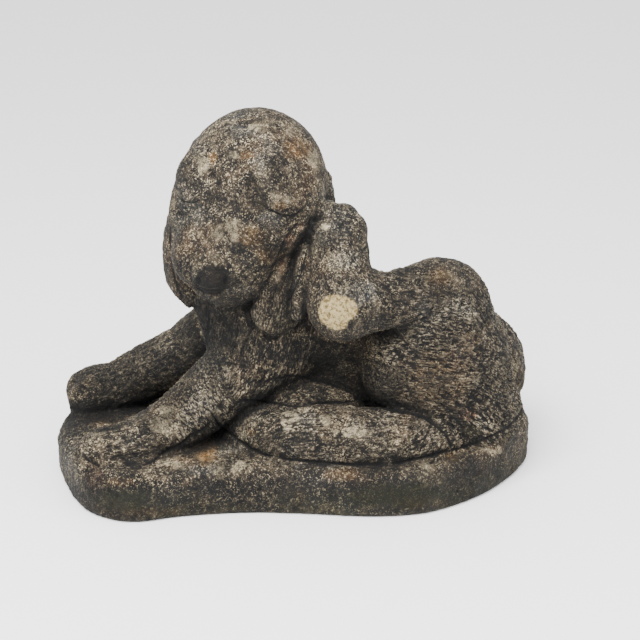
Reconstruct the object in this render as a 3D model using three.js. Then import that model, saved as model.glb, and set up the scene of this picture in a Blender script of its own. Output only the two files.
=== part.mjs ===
// Spaniel garden statue in cast stone. A spaniel lies on a thick plinth of free outline and scratches its
// left ear with its raised left hind foot. The dog and the plinth are cast as one solid.
// Millimetres, +Z up. +X runs from the forepaws to the rump, and the face looks towards -Y.
import * as THREE from 'three';

// Driving dimensions
const FIGURE_HEIGHT = 305.5; // plinth's upper face to the crown of the head
const PLINTH_LENGTH = 464;
const PLINTH_DEPTH = 288;
const PLINTH_THICKNESS = 44.5;
const STATUE_HEIGHT = PLINTH_THICKNESS + FIGURE_HEIGHT;
const PLINTH_PAW_ROUNDING = 18; // radius of the plinth's upper edge at the end under the forepaws
const PLINTH_RUMP_ROUNDING = 9; // and at the end under the rump
const PLINTH_FOOT_ROUNDING = 5; // radius of the plinth's lower edge
const PLINTH_FILLET = 7; // width of the fillet between the dog and the plinth

// How finely the form is turned into facets
const SAMPLING_CELL = 4; // edge of the cells that the form is sampled in
const BLOCK_CELLS = 4; // cells along a block that is skipped when it is clear of the surface
const BLOCK_CLEARANCE = 1.6; // how far that is, as a multiple of the block's edge
const SLOPE_STEP = 0.05; // distance over which a form's slope is measured
const SETTLING_ROUNDS = 2; // moves of each vertex onto the surface
const FACET_COUNT = 9400; // triangles that are kept after simplifying
const FLATTEST_CORNER = 1e-4; // below this the planes at a vertex don't fix a point
const SHORT_EDGE_WEIGHT = 1e-4; // how much short edges are joined ahead of long ones
const LEAST_ALIGNMENT = 0.3; // cosine of the most that joining two vertices may turn a facet

// The figure is laid out on a pointing grid that covers the plinth's upper face, so that the dog always
// fits its plinth. The grid has this many units along the plinth, across it and up to the crown.
const GRID_UNITS = [150.15, 93.2, 98.86];
const UNITS = [PLINTH_LENGTH, PLINTH_DEPTH, FIGURE_HEIGHT].map((size, axis) => size / GRID_UNITS[axis]);
const LEAST_UNIT = Math.min(...UNITS);
const SETBACK_UNITS = -1.618; // from the middle of the plinth's upper face to the grid's origin, along y
const FAR_OFF = 12; // units from a form beyond which its exact distance doesn't matter

// A form is a function of a point that gives its distance from the surface, below zero inside.

// Rotation of a form's own axes, from turns in degrees about x, then y, then z
function axesFrom([turnX, turnY, turnZ]) {
  const angles = [turnX, turnY, turnZ].map(THREE.MathUtils.degToRad);
  const matrix = new THREE.Matrix4().makeRotationFromEuler(new THREE.Euler(...angles, 'ZYX'));
  const axes = [new THREE.Vector3(), new THREE.Vector3(), new THREE.Vector3()];
  matrix.extractBasis(...axes);
  return axes;
}

// Distance to an ellipsoid's surface, near enough for blending, from a point in the ellipsoid's own axes
function ellipsoidDistance(x, y, z, radiusX, radiusY, radiusZ) {
  const [sx, sy, sz] = [x / radiusX, y / radiusY, z / radiusZ];
  const reach = Math.sqrt(sx * sx + sy * sy + sz * sz);
  const steepness = Math.sqrt((sx / radiusX) ** 2 + (sy / radiusY) ** 2 + (sz / radiusZ) ** 2);
  return steepness > 0 ? (reach * (reach - 1)) / steepness : -Math.min(radiusX, radiusY, radiusZ);
}

// Moves a form to a place, with its own axes turned
function placed(form, [placeX, placeY, placeZ], turns) {
  const [a, b, c] = axesFrom(turns);
  return (x, y, z) => {
    const dx = x - placeX;
    const dy = y - placeY;
    const dz = z - placeZ;
    return form(
      dx * a.x + dy * a.y + dz * a.z,
      dx * b.x + dy * b.y + dz * b.z,
      dx * c.x + dy * c.y + dz * c.z,
    );
  };
}

// Saves work: well away from a form, the distance to a ball around it stands in for its own distance
function bounded(form, [centreX, centreY, centreZ], reach) {
  return (x, y, z) => {
    const away = Math.hypot(x - centreX, y - centreY, z - centreZ) - reach;
    return away > FAR_OFF ? away : form(x, y, z);
  };
}

function ellipsoid(centre, [radiusX, radiusY, radiusZ], turns = [0, 0, 0]) {
  const own = (x, y, z) => ellipsoidDistance(x, y, z, radiusX, radiusY, radiusZ);
  return placed(own, centre, turns);
}

// A box with every edge rounded by the same radius
function roundedBlock(centre, [halfX, halfY, halfZ], rounding, turns = [0, 0, 0]) {
  const own = (x, y, z) => {
    const ox = Math.abs(x) - halfX + rounding;
    const oy = Math.abs(y) - halfY + rounding;
    const oz = Math.abs(z) - halfZ + rounding;
    const beyond = Math.hypot(Math.max(ox, 0), Math.max(oy, 0), Math.max(oz, 0));
    return beyond + Math.min(Math.max(ox, oy, oz), 0) - rounding;
  };
  return placed(own, centre, turns);
}

// A round limb along a smooth line through stations [x, y, z, radius]. Flat below 1 thins it along across.
function limb(stations, { flat = 1, across = [0, 0, 1], steps = 4 } = {}) {
  const points = stations.map(([x, y, z]) => new THREE.Vector3(x, y, z));
  const line = new THREE.CatmullRomCurve3(points, false, 'catmullrom');
  const count = (stations.length - 1) * steps;
  const spans = [];
  for (let i = 0; i < count; i++) {
    const low = Math.floor(i / steps);
    const radiusAt = (n) => THREE.MathUtils.lerp(stations[low][3], stations[low + 1][3], n / steps - low);
    const start = line.getPoint(i / count);
    const run = line.getPoint((i + 1) / count).sub(start);
    const taper = radiusAt(i + 1) - radiusAt(i);
    spans.push({ start, run, squared: run.lengthSq(), radius: radiusAt(i), taper });
  }
  const thinAxis = new THREE.Vector3(...across).normalize();
  const middle = new THREE.Box3().setFromPoints(points).getCenter(new THREE.Vector3());
  const reach = Math.max(...points.map((point, i) => middle.distanceTo(point) + stations[i][3]));
  const own = (x, y, z) => {
    let nearest = Infinity;
    for (const { start, run, squared, radius, taper } of spans) {
      const dx = x - start.x;
      const dy = y - start.y;
      const dz = z - start.z;
      const along = (dx * run.x + dy * run.y + dz * run.z) / squared;
      const t = along < 0 ? 0 : along > 1 ? 1 : along;
      const ox = dx - t * run.x;
      const oy = dy - t * run.y;
      const oz = dz - t * run.z;
      const width = radius + t * taper;
      const apart = ox * ox + oy * oy + oz * oz;
      let distance = Math.sqrt(apart) - width;
      if (flat !== 1) {
        const thin = ox * thinAxis.x + oy * thinAxis.y + oz * thinAxis.z;
        const wide = Math.sqrt(Math.max(apart - thin * thin, 0));
        distance = ellipsoidDistance(wide, thin, 0, width, width * flat, width);
      }
      if (distance < nearest) nearest = distance;
    }
    return nearest;
  };
  return bounded(own, middle.toArray(), reach);
}

// Joins forms, with a fillet about as wide as softness between them
function blend(softness, ...forms) {
  return (x, y, z) => {
    let joined = forms[0](x, y, z);
    for (let i = 1; i < forms.length; i++) {
      const next = forms[i](x, y, z);
      const overlap = Math.max(softness - Math.abs(joined - next), 0) / softness;
      joined = Math.min(joined, next) - (overlap * overlap * softness) / 4;
    }
    return joined;
  };
}

// Cuts forms out of a body, with edges rounded by about softness
function carve(softness, body, ...cuts) {
  return (x, y, z) => {
    let left = body(x, y, z);
    for (const cut of cuts) {
      const outside = -cut(x, y, z);
      const overlap = Math.max(softness - Math.abs(left - outside), 0) / softness;
      left = Math.max(left, outside) + (overlap * overlap * softness) / 4;
    }
    return left;
  };
}

// The head in its own axes, from the middle of the skull: x to the nose, y to the dog's left, z to the crown
function head() {
  const skull = blend(
    8,
    ellipsoid([-2, 0, 0], [20.5, 20.5, 19.3]),
    ellipsoid([4, 0, -3], [19, 21.5, 17.5]),
  );
  const muzzle = roundedBlock([17, -2.8, -6.5], [18.5, 16.3, 11], 11, [0, 5, -2]);
  const bridge = ellipsoid([16, 1.2, 1], [17, 9.5, 8], [0, 20, -2]);
  const jaw = ellipsoid([27, -2.5, -15], [10, 10.5, 7.5], [0, -15, 0]);
  const cheeks = [1, -1].map((side) => ellipsoid([8.5, 12 * side, -5], [11, 9.5, 10]));
  const brows = [1, -1].map((side) => ellipsoid([9, 11 * side, 11], [6, 8, 4.5], [0, 0, 20 * side]));
  const nose = ellipsoid([34.4, -1.4, -4.2], [3.8, 5.6, 4.8], [0, 25, 0]);
  // The closed eyes swell forward of the cheeks, and each has a hollow at its inner corner
  const leftEye = limb([
    [13.8, 14.3, 7.4, 2.4],
    [12.2, 17.2, 4.4, 4],
    [10.7, 20.2, 1, 2.6],
  ]);
  const rightEye = limb([
    [16.8, -6, 9, 2.6],
    [16, -10.6, 7.4, 4.1],
    [13.4, -14.6, 5, 2.6],
  ]);
  const leftCorner = limb([
    [13.6, 12.2, 13.6, 1],
    [15.9, 13.1, 10.8, 1.6],
    [16.7, 13.8, 7.6, 1.1],
  ]);
  const rightCorner = limb([
    [14.4, -12, 13.8, 0.9],
    [15.6, -9, 14.1, 1.3],
    [16.9, -6, 12.6, 0.9],
  ]);
  const lips = limb([
    [35.6, -0.5, -9.6, 0.8],
    [35, 5.5, -8.2, 0.8],
    [31.8, 10.9, -7.2, 0.8],
    [25.7, 13.7, -8.5, 0.7],
  ]);
  const face = blend(6, skull, blend(4, muzzle, bridge, jaw), ...cheeks, ...brows);
  const withEyes = blend(1.6, face, leftEye, rightEye, nose);
  return carve(1.6, withEyes, leftCorner, rightCorner, lips);
}

const HEAD_PLACE = [-12.2, 1.5, 78];
const HEAD_TURNS = [7, 35.5, -116];

function placedHead() {
  return placed(bounded(head(), [6, 0, -4], 34), HEAD_PLACE, HEAD_TURNS);
}

// The left ear hangs forward under the scratching paw, and the right ear hangs behind the cheek
function ears() {
  const left = limb(
    [
      [7.6, 1.5, 76.5, 4.8],
      [7.2, -2.5, 70, 6.4],
      [3, -6.5, 62, 7],
      [-0.5, -10, 54, 7],
      [-3.5, -12.5, 46, 8],
      [-4.7, -13.5, 41.5, 8.2],
    ],
    { flat: 0.42, across: [0.45, -0.9, 0.1] },
  );
  const right = limb(
    [
      [-28, 4, 84, 5.6],
      [-31.8, 3, 73, 6.8],
      [-35.7, 0, 58.5, 7.5],
      [-36, -2.5, 47, 6.4],
    ],
    { flat: 0.42, across: [-0.9, -0.45, 0] },
  );
  return blend(1.6, left, right);
}

function torso() {
  const trunk = limb([
    [-6, 6, 62, 13],
    [2, 7, 48, 15],
    [10, 8, 34, 17],
    [28, 10, 26, 18],
    [45, 11, 20, 18],
    [56, 10, 13, 18],
  ]);
  const chest = ellipsoid([-8, 0, 27], [17, 14, 20]);
  const throat = limb([
    [-20.5, -1, 47, 12.5],
    [-15, -3, 32, 13],
  ]);
  const behindEar = ellipsoid([-5.5, -7.5, 50], [7, 6, 9]);
  const belly = ellipsoid([20, 9, 8], [30, 15, 16]);
  const rightShoulder = ellipsoid([-7, 15, 36], [11, 8, 16], [0, -20, 0]);
  const rightHaunch = ellipsoid([52, 19, 11], [22.8, 13, 21]);
  const tail = limb([
    [66, 20, 14, 6],
    [66, 30, 7, 4.6],
    [57, 36, 4, 4.2],
    [46, 36, 2.5, 3.4],
  ]);
  const body = blend(6, trunk, chest, throat, belly, behindEar);
  return blend(3, body, rightShoulder, rightHaunch, tail);
}

function nearForeleg() {
  const leg = limb([
    [-9, -5, 25, 12],
    [-22, -12, 16, 10.5],
    [-35, -18.5, 7, 8.8],
    [-47, -23, 1.5, 7.8],
    [-56, -25.5, -0.5, 8],
  ]);
  const toes = blend(
    1.5,
    ellipsoid([-60, -31.5, -1.5], [5, 3.2, 4.5], [0, 0, 30]),
    ellipsoid([-61.8, -26.8, -1], [5, 3.4, 4.5], [0, 0, 15]),
    ellipsoid([-61, -21.5, -1], [5, 3.2, 4.5]),
  );
  return blend(3, leg, toes);
}

function farForeleg() {
  const leg = limb([
    [-20, 10, 28, 12],
    [-34, 11, 18, 9.5],
    [-47, 12, 11, 9],
    [-57, 12, 6, 8],
    [-64, 11.4, 4.5, 8.6],
  ]);
  const toes = blend(
    1.5,
    ellipsoid([-67.5, 5.2, 3.5], [5, 3.4, 6.2]),
    ellipsoid([-69.2, 11.2, 4.2], [4.8, 3.4, 6.8]),
    ellipsoid([-67.5, 17.2, 3.5], [5, 3.4, 6.2]),
  );
  return blend(2, leg, toes);
}

function raisedLeg() {
  const thigh = blend(
    8,
    ellipsoid([44, -7, 22], [23.5, 17, 22]),
    ellipsoid([45, -8.5, 42.3], [14.2, 11.5, 13.4]),
    ellipsoid([51, -5, 4], [21, 19, 14]),
  );
  const shank = limb([
    [42, -12, 47, 9],
    [28, -17, 45.5, 8.3],
    [15, -21, 45.5, 10],
  ]);
  const foot = limb([
    [15, -21, 45.5, 10],
    [14.2, -16, 56, 8.9],
    [13.8, -11, 64, 8.4],
  ]);
  const toes = blend(
    1.6,
    ellipsoid([9, -13, 66], [4, 4, 3.6]),
    ellipsoid([10.5, -9.5, 70.5], [4, 4, 3.6]),
    ellipsoid([15, -8.5, 69], [4.6, 4.6, 4]),
    ellipsoid([18.2, -9, 65], [4.2, 5, 4.6]),
  );
  return blend(3, thigh, shank, blend(2, foot, toes));
}

function lowerLeg() {
  const shin = limb([
    [50, -21, 1.5, 4],
    [42, -23, 2, 7.5],
    [31, -23.5, 1.5, 10.6],
    [12, -23, 1, 12.2],
    [-3, -19.5, 1, 11.2],
    [-13.5, -12, 1, 8.8],
    [-21, -6.5, 1.5, 4],
  ]);
  const fold = ellipsoid([4.8, -6.5, 8.8], [18, 9.5, 7], [0, 4, 0]);
  return blend(2, shin, fold);
}

// The plinth's outline: points as shares of its length and depth from its middle
const PLINTH_OUTLINE = [
  [-0.5, -0.02],
  [-0.472, -0.22],
  [-0.42, -0.4],
  [-0.36, -0.48],
  [-0.3, -0.498],
  [-0.22, -0.462],
  [-0.1, -0.436],
  [0.02, -0.441],
  [0.15, -0.462],
  [0.25, -0.445],
  [0.32, -0.39],
  [0.385, -0.305],
  [0.43, -0.22],
  [0.475, -0.1],
  [0.5, 0.04],
  [0.46, 0.26],
  [0.36, 0.41],
  [0.2, 0.495],
  [0, 0.5],
  [-0.2, 0.47],
  [-0.37, 0.38],
  [-0.47, 0.17],
];

function plinth() {
  const corners = PLINTH_OUTLINE.map(([x, y]) => new THREE.Vector3(x, y, 0));
  const outline = new THREE.CatmullRomCurve3(corners, true, 'catmullrom').getPoints(corners.length * 4);
  const extent = new THREE.Box3().setFromPoints(outline);
  const middle = extent.getCenter(new THREE.Vector3());
  const size = extent.getSize(new THREE.Vector3());
  for (const point of outline) {
    point.x = ((point.x - middle.x) / size.x) * PLINTH_LENGTH;
    point.y = ((point.y - middle.y) / size.y) * PLINTH_DEPTH;
  }
  const outlineDistance = (x, y) => {
    let nearest = Infinity;
    let inside = false;
    for (let i = 0; i < outline.length - 1; i++) {
      const a = outline[i];
      const b = outline[i + 1];
      const ex = b.x - a.x;
      const ey = b.y - a.y;
      const along = ((x - a.x) * ex + (y - a.y) * ey) / (ex * ex + ey * ey);
      const t = Math.min(Math.max(along, 0), 1);
      nearest = Math.min(nearest, Math.hypot(x - a.x - t * ex, y - a.y - t * ey));
      if (a.y > y !== b.y > y && x < a.x + ((y - a.y) / ey) * ex) inside = !inside;
    }
    return inside ? -nearest : nearest;
  };
  return (x, y, z) => {
    if (z > PLINTH_THICKNESS + FAR_OFF * LEAST_UNIT) return z - PLINTH_THICKNESS;
    const upper = z > PLINTH_THICKNESS / 2;
    const along = THREE.MathUtils.clamp(x / PLINTH_LENGTH + 0.5, 0, 1);
    const topRounding = THREE.MathUtils.lerp(PLINTH_PAW_ROUNDING, PLINTH_RUMP_ROUNDING, along);
    const rounding = upper ? topRounding : PLINTH_FOOT_ROUNDING;
    const beyondSide = outlineDistance(x, y) + rounding;
    const beyondFace = (upper ? z - PLINTH_THICKNESS : -z) + rounding;
    const corner = Math.hypot(Math.max(beyondSide, 0), Math.max(beyondFace, 0));
    return Math.min(Math.max(beyondSide, beyondFace), 0) + corner - rounding;
  };
}

function dog() {
  const body = blend(3, torso(), raisedLeg());
  const withForelegs = blend(3, body, nearForeleg(), farForeleg());
  return blend(2, blend(3, withForelegs, lowerLeg()), ears(), placedHead());
}

// The whole statue, in millimetres
function statue() {
  const figure = dog();
  const base = plinth();
  const [unitX, unitY, unitZ] = UNITS;
  const onBase = (x, y, z) =>
    LEAST_UNIT * figure(x / unitX, y / unitY - SETBACK_UNITS, (z - PLINTH_THICKNESS) / unitZ);
  const whole = blend(PLINTH_FILLET, onBase, base);
  return (x, y, z) => Math.max(whole(x, y, z), -z);
}

// Samples a form at the corners of cubic cells. A block of cells far from the surface gets one value.
function sampled(form, low, [nx, ny, nz], cell) {
  const block = BLOCK_CELLS;
  const clear = BLOCK_CLEARANCE * block * cell;
  const values = new Float64Array(nx * ny * nz);
  for (let k0 = 0; k0 < nz; k0 += block)
    for (let j0 = 0; j0 < ny; j0 += block)
      for (let i0 = 0; i0 < nx; i0 += block) {
        const [x, y, z] = [i0, j0, k0].map((n, axis) => low[axis] + (n + block / 2) * cell);
        const middle = form(x, y, z);
        for (let k = k0; k < Math.min(k0 + block, nz); k++)
          for (let j = j0; j < Math.min(j0 + block, ny); j++)
            for (let i = i0; i < Math.min(i0 + block, nx); i++)
              values[i + nx * (j + ny * k)] = Math.abs(middle) > clear
                ? middle
                : form(low[0] + i * cell, low[1] + j * cell, low[2] + k * cell);
      }
  return values;
}

// Fills samples where the form would touch itself only along an edge or at a corner, to keep the mesh closed
function withoutPinches(values, [nx, ny, nz]) {
  const steps = [1, nx, nx * ny];
  const filled = -SLOPE_STEP;
  const fillOne = (...outside) => {
    const nearest = outside.reduce((a, b) => (values[a] < values[b] ? a : b));
    values[nearest] = filled;
  };
  let changed = true;
  while (changed) {
    changed = false;
    for (let here = 0; here < nx * ny * (nz - 1) - nx - 1; here++) {
      const inside = values[here] < 0;
      for (let axis = 0; axis < 3; axis++) {
        const u = here + steps[(axis + 1) % 3];
        const v = here + steps[(axis + 2) % 3];
        const across = u + v - here;
        const others = [u, v, across].map((corner) => values[corner] < 0);
        if (others[0] === inside || others[1] === inside || others[2] !== inside) continue;
        if (inside) fillOne(u, v);
        else fillOne(here, across);
        changed = true;
      }
      const [a, b, c] = steps.map((step) => here + step);
      const opposites = [
        [here, a + b + c - 2 * here],
        [a, b + c - here],
        [b, a + c - here],
        [c, a + b - here],
      ];
      if (opposites.some(([p, q]) => values[p] < 0 !== values[q] < 0)) continue;
      const outside = opposites.flat().filter((corner) => values[corner] >= 0);
      if (outside.length !== 2 && outside.length !== 6) continue;
      fillOne(...outside);
      changed = true;
    }
  }
}

// Turns a form into a closed mesh: one vertex in each cell that the surface crosses, four round each edge
function meshOf(form, low, high, cell) {
  const [nx, ny, nz] = low.map((from, axis) => Math.ceil((high[axis] - from) / cell) + 1);
  const at = (i, j, k) => i + nx * (j + ny * k);
  const values = sampled(form, low, [nx, ny, nz], cell);
  withoutPinches(values, [nx, ny, nz]);

  const corners = [];
  for (let c = 0; c < 8; c++) corners.push([c & 1, (c >> 1) & 1, c >> 2]);
  const edges = [];
  for (let a = 0; a < 8; a++)
    for (const bit of [1, 2, 4])
      if (!(a & bit)) edges.push([a, a | bit]);

  const vertexOf = new Int32Array(nx * ny * nz).fill(-1);
  const vertices = [];
  for (let k = 0; k < nz - 1; k++)
    for (let j = 0; j < ny - 1; j++)
      for (let i = 0; i < nx - 1; i++) {
        const sum = [0, 0, 0];
        let crossings = 0;
        for (const [a, b] of edges) {
          const [pa, pb] = [corners[a], corners[b]];
          const va = values[at(i + pa[0], j + pa[1], k + pa[2])];
          const vb = values[at(i + pb[0], j + pb[1], k + pb[2])];
          if (va < 0 === vb < 0) continue;
          const t = va / (va - vb);
          for (let axis = 0; axis < 3; axis++) sum[axis] += pa[axis] + t * (pb[axis] - pa[axis]);
          crossings++;
        }
        if (!crossings) continue;
        vertexOf[at(i, j, k)] = vertices.length;
        vertices.push([i, j, k].map((n, axis) => low[axis] + (n + sum[axis] / crossings) * cell));
      }

  const triangles = [];
  const steps = [1, nx, nx * ny];
  for (let k = 1; k < nz - 1; k++)
    for (let j = 1; j < ny - 1; j++)
      for (let i = 1; i < nx - 1; i++) {
        const here = at(i, j, k);
        for (let axis = 0; axis < 3; axis++) {
          const inside = values[here] < 0;
          if (inside === values[here + steps[axis]] < 0) continue;
          const u = steps[(axis + 1) % 3];
          const v = steps[(axis + 2) % 3];
          const ring = [here, here - u, here - u - v, here - v].map((cellIndex) => vertexOf[cellIndex]);
          if (inside) ring.reverse();
          const [a, b, c, d] = ring;
          triangles.push([a, c, b], [a, d, c]);
        }
      }
  return { vertices, triangles };
}

// Moves each vertex along the form's slope until it lies on the surface
function settle(vertices, form, rounds) {
  for (const p of vertices)
    for (let round = 0; round < rounds; round++) {
      const d = form(...p);
      const slope = [0, 1, 2].map((axis) => {
        const q = [...p];
        q[axis] += SLOPE_STEP;
        return (form(...q) - d) / SLOPE_STEP;
      });
      const squared = Math.max(slope[0] ** 2 + slope[1] ** 2 + slope[2] ** 2, 0.1);
      for (let axis = 0; axis < 3; axis++) p[axis] -= (d * slope[axis]) / squared;
    }
}

// Joins vertices pair by pair where that changes the surface least, until only so many triangles are left
function simplified({ vertices, triangles }, wanted) {
  const places = vertices.map((p) => [...p]);
  const faces = triangles.map((t) => [...t]);
  const facesAt = places.map(() => new Set());
  faces.forEach((face, index) => face.forEach((v) => facesAt[v].add(index)));

  // The sum of squared distances to a vertex's planes, as the ten terms of a symmetric 4 by 4 matrix
  const planes = places.map(() => new Float64Array(10));
  const normalOf = (a, b, c) => {
    const [ux, uy, uz] = [b[0] - a[0], b[1] - a[1], b[2] - a[2]];
    const [vx, vy, vz] = [c[0] - a[0], c[1] - a[1], c[2] - a[2]];
    return [uy * vz - uz * vy, uz * vx - ux * vz, ux * vy - uy * vx];
  };
  for (const face of faces) {
    const [a, b, c] = face.map((v) => places[v]);
    const n = normalOf(a, b, c);
    const size = Math.hypot(...n) || 1;
    const [x, y, z] = n.map((part) => part / size);
    const w = -(x * a[0] + y * a[1] + z * a[2]);
    const terms = [x * x, x * y, x * z, x * w, y * y, y * z, y * w, z * z, z * w, w * w];
    for (const v of face) terms.forEach((term, i) => (planes[v][i] += (term * size) / 2));
  }

  const costAt = (q, [x, y, z]) =>
    q[0] * x * x + 2 * q[1] * x * y + 2 * q[2] * x * z + 2 * q[3] * x + q[4] * y * y
    + 2 * q[5] * y * z + 2 * q[6] * y + q[7] * z * z + 2 * q[8] * z + q[9];

  const bestPlace = (q, a, b) => {
    const m = new THREE.Matrix3().set(q[0], q[1], q[2], q[1], q[4], q[5], q[2], q[5], q[7]);
    const middle = [0, 1, 2].map((axis) => (a[axis] + b[axis]) / 2);
    const size = q[0] + q[4] + q[7];
    if (Math.abs(m.determinant()) < FLATTEST_CORNER * size ** 3) return middle;
    const solved = new THREE.Vector3(-q[3], -q[6], -q[8]).applyMatrix3(m.invert()).toArray();
    const reach = Math.hypot(a[0] - b[0], a[1] - b[1], a[2] - b[2]);
    const moved = Math.hypot(solved[0] - middle[0], solved[1] - middle[1], solved[2] - middle[2]);
    return moved < reach ? solved : middle;
  };

  // A heap of candidate pairs, cheapest first; a pair is stale once either vertex has changed
  const heap = [];
  const changes = new Uint32Array(places.length);
  const swap = (i, j) => ([heap[i], heap[j]] = [heap[j], heap[i]]);
  const push = (entry) => {
    let i = heap.push(entry) - 1;
    while (i > 0 && heap[(i - 1) >> 1].cost > heap[i].cost) {
      swap(i, (i - 1) >> 1);
      i = (i - 1) >> 1;
    }
  };
  const pop = () => {
    const top = heap[0];
    const last = heap.pop();
    if (heap.length) {
      heap[0] = last;
      for (let i = 0; ; ) {
        const left = 2 * i + 1;
        let least = i;
        if (left < heap.length && heap[left].cost < heap[least].cost) least = left;
        if (left + 1 < heap.length && heap[left + 1].cost < heap[least].cost) least = left + 1;
        if (least === i) break;
        swap(i, least);
        i = least;
      }
    }
    return top;
  };
  const offer = (a, b) => {
    const q = planes[a].map((term, i) => term + planes[b][i]);
    const place = bestPlace(q, places[a], places[b]);
    const reach = Math.hypot(...places[a].map((x, axis) => x - places[b][axis]));
    const cost = costAt(q, place) + SHORT_EDGE_WEIGHT * reach ** 2;
    push({ cost, a, b, place, q, stamp: changes[a] + changes[b] });
  };
  const neighbours = (v) => {
    const found = new Set();
    for (const index of facesAt[v])
      for (const other of faces[index])
        if (other !== v) found.add(other);
    return found;
  };

  faces.forEach(([a, b, c]) => {
    for (const [p, q] of [[a, b], [b, c], [c, a]])
      if (p < q) offer(p, q);
  });
  let count = faces.length;
  while (count > wanted && heap.length) {
    const { a, b, place, q, stamp } = pop();
    if (stamp !== changes[a] + changes[b] || !facesAt[a].size || !facesAt[b].size) continue;
    const aroundB = neighbours(b);
    const shared = [...neighbours(a)].filter((v) => aroundB.has(v));
    if (shared.length !== 2) continue;
    const turnsOver = [a, b].some((moving) =>
      [...facesAt[moving]].some((index) => {
        const face = faces[index];
        if (face.includes(a) && face.includes(b)) return false;
        const before = normalOf(...face.map((v) => places[v]));
        const after = normalOf(...face.map((v) => (v === moving ? place : places[v])));
        const together = before[0] * after[0] + before[1] * after[1] + before[2] * after[2];
        return together < LEAST_ALIGNMENT * Math.hypot(...before) * Math.hypot(...after);
      }),
    );
    if (turnsOver) continue;
    for (const index of [...facesAt[b]]) {
      const face = faces[index];
      if (face.includes(a)) {
        face.forEach((v) => facesAt[v].delete(index));
        faces[index] = null;
        count--;
      } else {
        face[face.indexOf(b)] = a;
        facesAt[b].delete(index);
        facesAt[a].add(index);
      }
    }
    places[a] = place;
    planes[a] = q;
    changes[a]++;
    changes[b]++;
    for (const v of neighbours(a)) offer(a, v);
  }
  const kept = [];
  const renumbered = new Map();
  const numberOf = (v) => {
    if (!renumbered.has(v)) renumbered.set(v, kept.push(places[v]) - 1);
    return renumbered.get(v);
  };
  const left = faces.filter(Boolean).map((face) => face.map(numberOf));
  return { vertices: kept, triangles: left };
}

function statueGeometry() {
  const form = statue();
  const margin = 2.5 * SAMPLING_CELL;
  const low = [-PLINTH_LENGTH / 2 - margin, -PLINTH_DEPTH / 2 - margin, -margin];
  const high = [PLINTH_LENGTH / 2 + margin, PLINTH_DEPTH / 2 + margin, STATUE_HEIGHT + margin];
  const fine = meshOf(form, low, high, SAMPLING_CELL);
  settle(fine.vertices, form, SETTLING_ROUNDS);
  const { vertices, triangles } = simplified(fine, FACET_COUNT);
  const geometry = new THREE.BufferGeometry();
  geometry.setAttribute('position', new THREE.Float32BufferAttribute(vertices.flat(), 3));
  geometry.setIndex(triangles.flat());
  geometry.computeVertexNormals();
  return geometry;
}

const stone = new THREE.MeshStandardMaterial({ color: 0x6b675f, roughness: 0.95, metalness: 0 });
const statueMesh = new THREE.Mesh(statueGeometry(), stone);
statueMesh.name = 'spaniel_statue';

const part = new THREE.Group();
part.add(statueMesh);
export default part;
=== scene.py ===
"""Weathered cast-stone statue of a spaniel that scratches its ear, on a thick plinth of free outline."""

import math

import bmesh
import bpy
import numpy as np
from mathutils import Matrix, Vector


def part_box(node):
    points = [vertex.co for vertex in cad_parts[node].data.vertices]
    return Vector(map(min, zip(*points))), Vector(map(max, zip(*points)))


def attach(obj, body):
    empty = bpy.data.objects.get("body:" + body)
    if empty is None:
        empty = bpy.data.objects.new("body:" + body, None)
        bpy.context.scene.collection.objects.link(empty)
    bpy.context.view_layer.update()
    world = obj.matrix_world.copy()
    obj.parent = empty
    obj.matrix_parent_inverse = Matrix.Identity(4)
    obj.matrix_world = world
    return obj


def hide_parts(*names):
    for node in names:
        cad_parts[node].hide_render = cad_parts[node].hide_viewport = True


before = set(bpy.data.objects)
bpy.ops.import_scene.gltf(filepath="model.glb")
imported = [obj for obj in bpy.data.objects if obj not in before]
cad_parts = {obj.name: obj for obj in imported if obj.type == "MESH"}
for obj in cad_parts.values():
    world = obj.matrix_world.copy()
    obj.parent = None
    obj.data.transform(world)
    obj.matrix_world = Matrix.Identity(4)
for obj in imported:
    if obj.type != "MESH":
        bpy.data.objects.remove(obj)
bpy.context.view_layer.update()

# Driving dimensions, in metres, the same as the part's
lowest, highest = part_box("spaniel_statue")
PLINTH_LENGTH = highest[0] - lowest[0]
PLINTH_DEPTH = highest[1] - lowest[1]
PLINTH_THICKNESS = 0.0445
PLINTH_PAW_ROUNDING = 0.018
PLINTH_RUMP_ROUNDING = 0.009
PLINTH_FOOT_ROUNDING = 0.005
GRID_SETBACK = -0.005  # from the middle of the plinth's upper face to the grid's origin, along y
CROWN_UNITS = 98.86  # height of the crown over the plinth, in grid units
UNIT = (highest[2] - PLINTH_THICKNESS) / CROWN_UNITS
MM = 0.001 / UNIT  # a millimetre, in grid units

CELL = 2.3 * MM  # edge of the sampling cells
FAR_OFF = 12.0  # units from a form beyond which its exact distance doesn't matter
BLOCK = 6  # cells along a block that is skipped when it is clear of the surface
BLOCK_CLEARANCE = 1.3  # how far that is, as a multiple of the block's edge
SAMPLING_BATCHES = 8  # parts that the samples are worked out in, to spare memory
FILLED = -0.01  # value of a sample that is filled in
FILLING_ROUNDS = 20
SLOPE_STEP = 0.02  # distance over which a form's slope is measured
LEAST_SLOPE = 0.1
TINY = 1e-9
FACES_WANTED = 190000


# Forms
def axes_from(turns):
    """Rotation of a form's own axes, from turns in degrees about x, then y, then z."""
    axes = np.eye(3)
    for axis in (2, 1, 0):
        angle = math.radians(turns[axis])
        u, v = (axis + 1) % 3, (axis + 2) % 3
        turn = np.eye(3)
        turn[u, u] = turn[v, v] = math.cos(angle)
        turn[u, v], turn[v, u] = -math.sin(angle), math.sin(angle)
        axes = axes @ turn
    return axes


def length(v):
    return np.sqrt((v * v).sum(1))


def placed(form, place, turns):
    axes = axes_from(turns)
    place = np.array(place, float)

    def own(p):
        return form((p - place) @ axes)

    return own


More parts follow.
